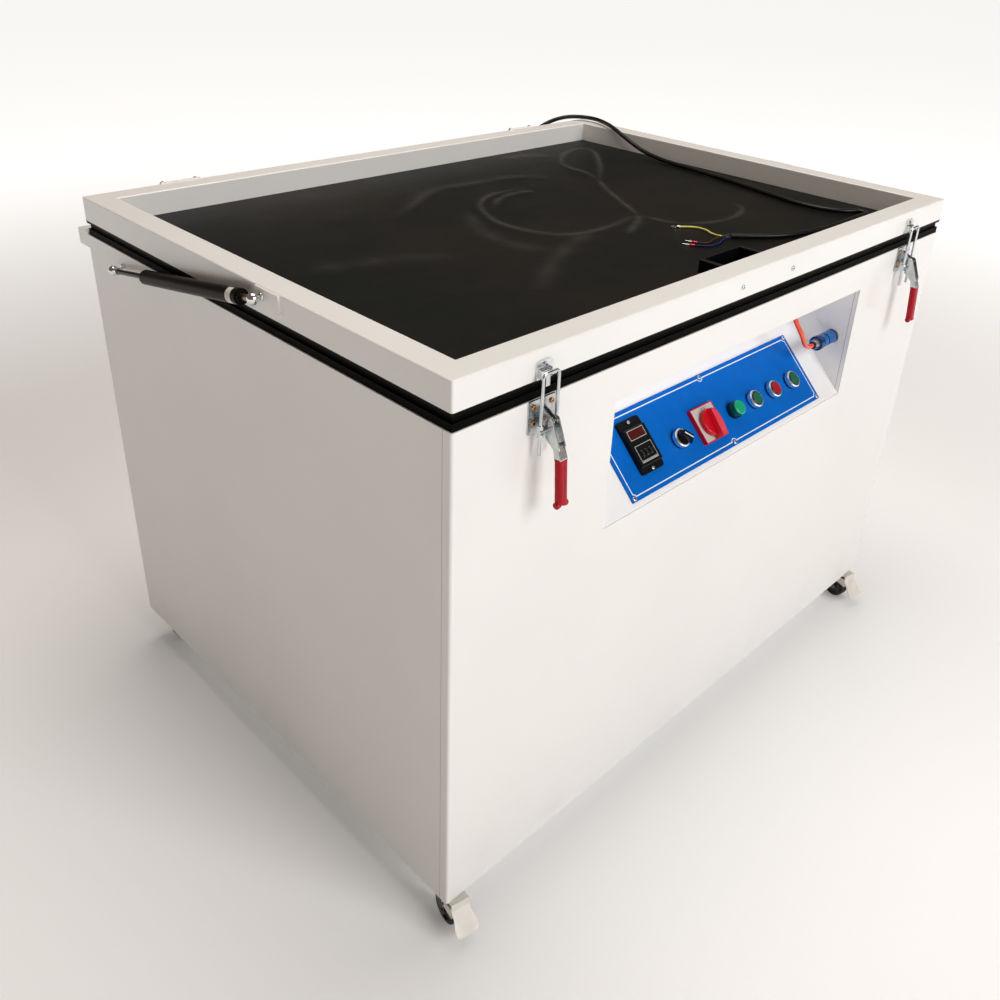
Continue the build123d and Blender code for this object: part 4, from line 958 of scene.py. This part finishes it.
# the flat tops of the two brake pedals
def pedal_top(corner, side):
    """A plate between a pedal's tread and the castor's swivel head."""
    grid = bmesh.new()
    bmesh.ops.create_cube(grid, size=1.0)
    bmesh.ops.scale(grid, vec=Vector((30, 26, 2)) * MM, verts=grid.verts)
    bmesh.ops.bevel(
        grid, geom=grid.edges[:], offset=0.5 * MM, affect="EDGES", segments=2, profile=0.5, material=-1
    )
    bmesh.ops.translate(grid, vec=Vector((0, -35, 64.5)) * MM, verts=grid.verts)
    turn = Matrix.Rotation(math.radians(PEDAL_TURN), 4, "Z")
    place = Matrix.Translation(Vector((side * CASTOR_X, -CASTOR_Y, 0)) * MM)
    bmesh.ops.transform(grid, matrix=place @ turn, verts=grid.verts)
    return piece_of(f"pedal_top_{corner}", mesh_of(grid), PEDAL, f"brake_pedal_{corner}")


pedal_top("front_left", -1)
pedal_top("front_right", 1)


# ---- blanket ----------------------------------------------------------------------------
# soft folds that stand in the rubber: points in millimetres, height, half width
FOLDS = [
    ([(130, 161), (87, 168), (44, 166), (4, 152), (-32, 122), (-58, 80), (-76, 34), (-76, -14),
      (-62, -58), (-44, -84), (-16, -101), (30, -104), (77, -99), (128, -88), (163, -83)], 2.6, 9),
    ([(126, 140), (95, 148), (54, 146), (20, 132), (-6, 108)], 1.6, 10),
    ([(-214, 159), (-144, 188), (-63, 238), (-8, 256), (44, 250), (94, 250), (140, 247), (176, 236),
      (206, 216), (216, 186)], 2.0, 16),
    ([(287, 113), (308, 149), (319, 185), (320, 220), (331, 254), (357, 286), (404, 320), (462, 342),
      (490, 334), (474, 292), (428, 241), (375, 189), (328, 151), (287, 113)], 1.5, 9),
    ([(300, 130), (268, 92), (232, 39), (200, -14), (176, -55), (161, -83)], 2.4, 8),
    ([(161, -83), (163, -112), (166, -138), (182, -166), (214, -188), (252, -199), (294, -199),
      (330, -188), (361, -168), (374, -140)], 1.7, 8),
    ([(20, -104), (-30, -116), (-90, -140), (-155, -172), (-209, -207), (-262, -246)], 1.6, 22),
    ([(161, -83), (130, -108), (96, -126), (56, -146)], 1.3, 11),
    ([(-68, 112), (-116, 46), (-142, -28), (-137, -90), (-110, -130)], 1.1, 24),
    ([(262, 356), (300, 362), (338, 350), (366, 316)], 1.0, 16),
    ([(-470, 20), (-400, 4), (-320, -18), (-250, -60)], 0.9, 30),
]


def smooth_line(points, steps=6):
    """A Catmull-Rom line through points in the plane."""
    points = [np.array(point, float) for point in points]
    line = []
    for index in range(len(points) - 1):
        a, b, c, d = (points[min(max(index + k, 0), len(points) - 1)] for k in (-1, 0, 1, 2))
        for t in np.arange(steps) / steps:
            square, cube = 2 * a - 5 * b + 4 * c - d, 3 * b - a - 3 * c + d
            line.append((2 * b + (c - a) * t + square * t**2 + cube * t**3) / 2)
    return np.array([*line, points[-1]])


def near_line(places, line):
    """How far places are from a line, and how far along it that is, from 0 to 1."""
    best, share = np.full(len(places), 1e9), np.zeros(len(places))
    for index, (start, end) in enumerate(zip(line, line[1:])):
        run = end - start
        t = np.clip((places - start) @ run / (run @ run), 0, 1)
        gap = np.linalg.norm(places - start - t[:, None] * run, axis=1)
        closer = gap < best
        best[closer] = gap[closer]
        share[closer] = ((index + t) / (len(line) - 1))[closer]
    return best, share


def blanket_rise(places):
    """The rubber's rise over its flat level, and how sharply it folds, which sets a painted highlight on the
    crests, at places in millimetres.
    """
    x, y = places.T
    rise, fold_highlight = np.zeros(len(places)), np.zeros(len(places))
    for points, height, half_width in FOLDS:
        gap, share = near_line(places, smooth_line(points))
        gap = gap / half_width
        taper = np.clip(np.minimum(share, 1 - share) * 7, 0, 1) * (0.8 + 0.2 * np.sin(share * 23 + x[0]))
        ridge, foot = np.exp(-(gap**2)) * taper, np.exp(-((gap / 2.6) ** 2)) * taper
        rise = np.maximum(rise, height * ridge) + 0.12 * height * foot
        fold_highlight = np.maximum(fold_highlight, np.exp(-((gap / 0.62) ** 2)) * taper * min(1, 9 / half_width))
    rise += 0.6 * np.sin(x * 0.011 + 0.8 * np.sin(y * 0.013)) * np.sin(y * 0.015 + 0.5)
    rise += 0.25 * np.sin(x * 0.031 + y * 0.017) * np.sin(y * 0.027 - x * 0.009)
    laid = np.array([(point.x, point.y) for point in cord_path if point.z < 0.88 and point.y < 0.3]) / MM
    clear, _ = near_line(places, laid)
    for points in WIRES.values():
        clear = np.minimum(clear, near_line(places, np.array(points, float)[:, :2])[0])
    port = np.hypot(np.maximum(abs(x - 4) - 55, 0), np.maximum(abs(y + 384) - 21, 0))
    held = np.clip((np.minimum(clear, port) - 7) / 26, 0, 1)
    rise = np.where(rise > 0, rise * held, rise)
    edge = np.clip(np.minimum(560 - abs(x), 405 - abs(y)) / 45, 0, 1)
    smooth = edge * edge * (3 - 2 * edge)
    return rise * smooth, fold_highlight * smooth * held


def rubber_sheet():
    """The rubber sheet, flat where it is clamped, with soft folds standing in it."""
    level, thickness = 855.0, 1.8
    grid = bmesh.new()
    bmesh.ops.create_grid(grid, x_segments=224, y_segments=166, size=0.5)
    bmesh.ops.scale(grid, vec=(1.1992, 0.8892, 1), verts=grid.verts)
    places = np.array([vert.co[:2] for vert in grid.verts]) / MM
    rise, fold_highlight = blanket_rise(places)
    # this attribute marks the fold crests, where the shader paints a highlight
    mark = grid.verts.layers.float.new("fold_highlight")
    for vert, height, crease_highlight in zip(grid.verts, rise, fold_highlight):
        vert.co.z = (level + height) * MM
        vert[mark] = crease_highlight
    bmesh.ops.recalc_face_normals(grid, faces=grid.faces)
    bmesh.ops.solidify(grid, geom=grid.faces[:], thickness=thickness * MM)
    sheet = piece_of("rubber_sheet", mesh_of(grid), blanket_rubber(), "lid")
    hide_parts("rubber_blanket")
    return sheet


for number in (1, 2, 3):
    wheel_digits(number, 1)
rubber_sheet()


# ---- room -------------------------------------------------------------------------------
def area_light(name, place, aim, size, power, colour):
    lamp = bpy.data.objects.new(name, bpy.data.lights.new(name, "AREA"))
    bpy.context.scene.collection.objects.link(lamp)
    lamp.data.shape = "RECTANGLE"
    lamp.data.size, lamp.data.size_y = size
    lamp.data.energy = power
    lamp.data.color = colour
    lamp.location = place
    lamp.rotation_euler = (Vector(aim) - Vector(place)).to_track_quat("-Z", "Y").to_euler()


def studio_floor():
    """A plain pale floor that glows as painted light, faintly near the cabinet and more brightly far from
    it.
    """
    grid = bmesh.new()
    bmesh.ops.create_grid(grid, x_segments=1, y_segments=1, size=30)
    floor = bpy.data.objects.new("studio_floor", mesh_of(grid))
    bpy.context.scene.collection.objects.link(floor)
    paint = Paint("studio_floor", (0.90, 0.90, 0.90), 0.75, emission_strength=1.0)
    paint.feed("Base Color", paint.mix(paint.noise(1.2), (0.88, 0.88, 0.88), (0.91, 0.91, 0.91)))
    far = paint.away((0, 0, 0), (0, 0, 1)).rise(1200, 4600)
    # painted light: the floor's glow, dim near the cabinet and bright far away
    paint.feed("Emission Color", paint.mix(far, (0.12, 0.12, 0.12), (0.80, 0.80, 0.80)))
    floor.data.materials.append(paint.material)


def studio_world():
    """Soft light from all round: light near the horizon, dimmer above it, and browner on the left."""
    world = bpy.data.worlds.new("studio")
    bpy.context.scene.world = world
    world.use_nodes = True
    nodes = Nodes(world.node_tree)
    place = nodes.node("ShaderNodeTexCoord", {}, {}, "Generated")
    across, height = nodes.node("ShaderNodeSeparateXYZ", {}, {0: place}, (0, 2))
    left = nodes.mix(height.rise(0.02, 0.14), (0.37, 0.28, 0.20), (0.15, 0.118, 0.088))
    right = nodes.mix(height.rise(0.02, 0.14), (0.42, 0.36, 0.31), (0.145, 0.130, 0.115))
    colour = nodes.mix(across.rise(-0.6, 0.2), left, right)
    world.node_tree.links.new(colour.socket, world.node_tree.nodes["Background"].inputs["Color"])


studio_floor()
studio_world()
area_light("front_light", (0.5, -5.8, 3.6), (0.1, -0.2, 0.6), (3.2, 3.2), 246, (1.0, 0.993, 0.986))
area_light("top_light", (0.3, 0.3, 3.3), (0.1, 0.0, 0.8), (2.2, 1.8), 58, (1.0, 0.93, 0.86))
bpy.context.scene.view_settings.view_transform = "Standard"
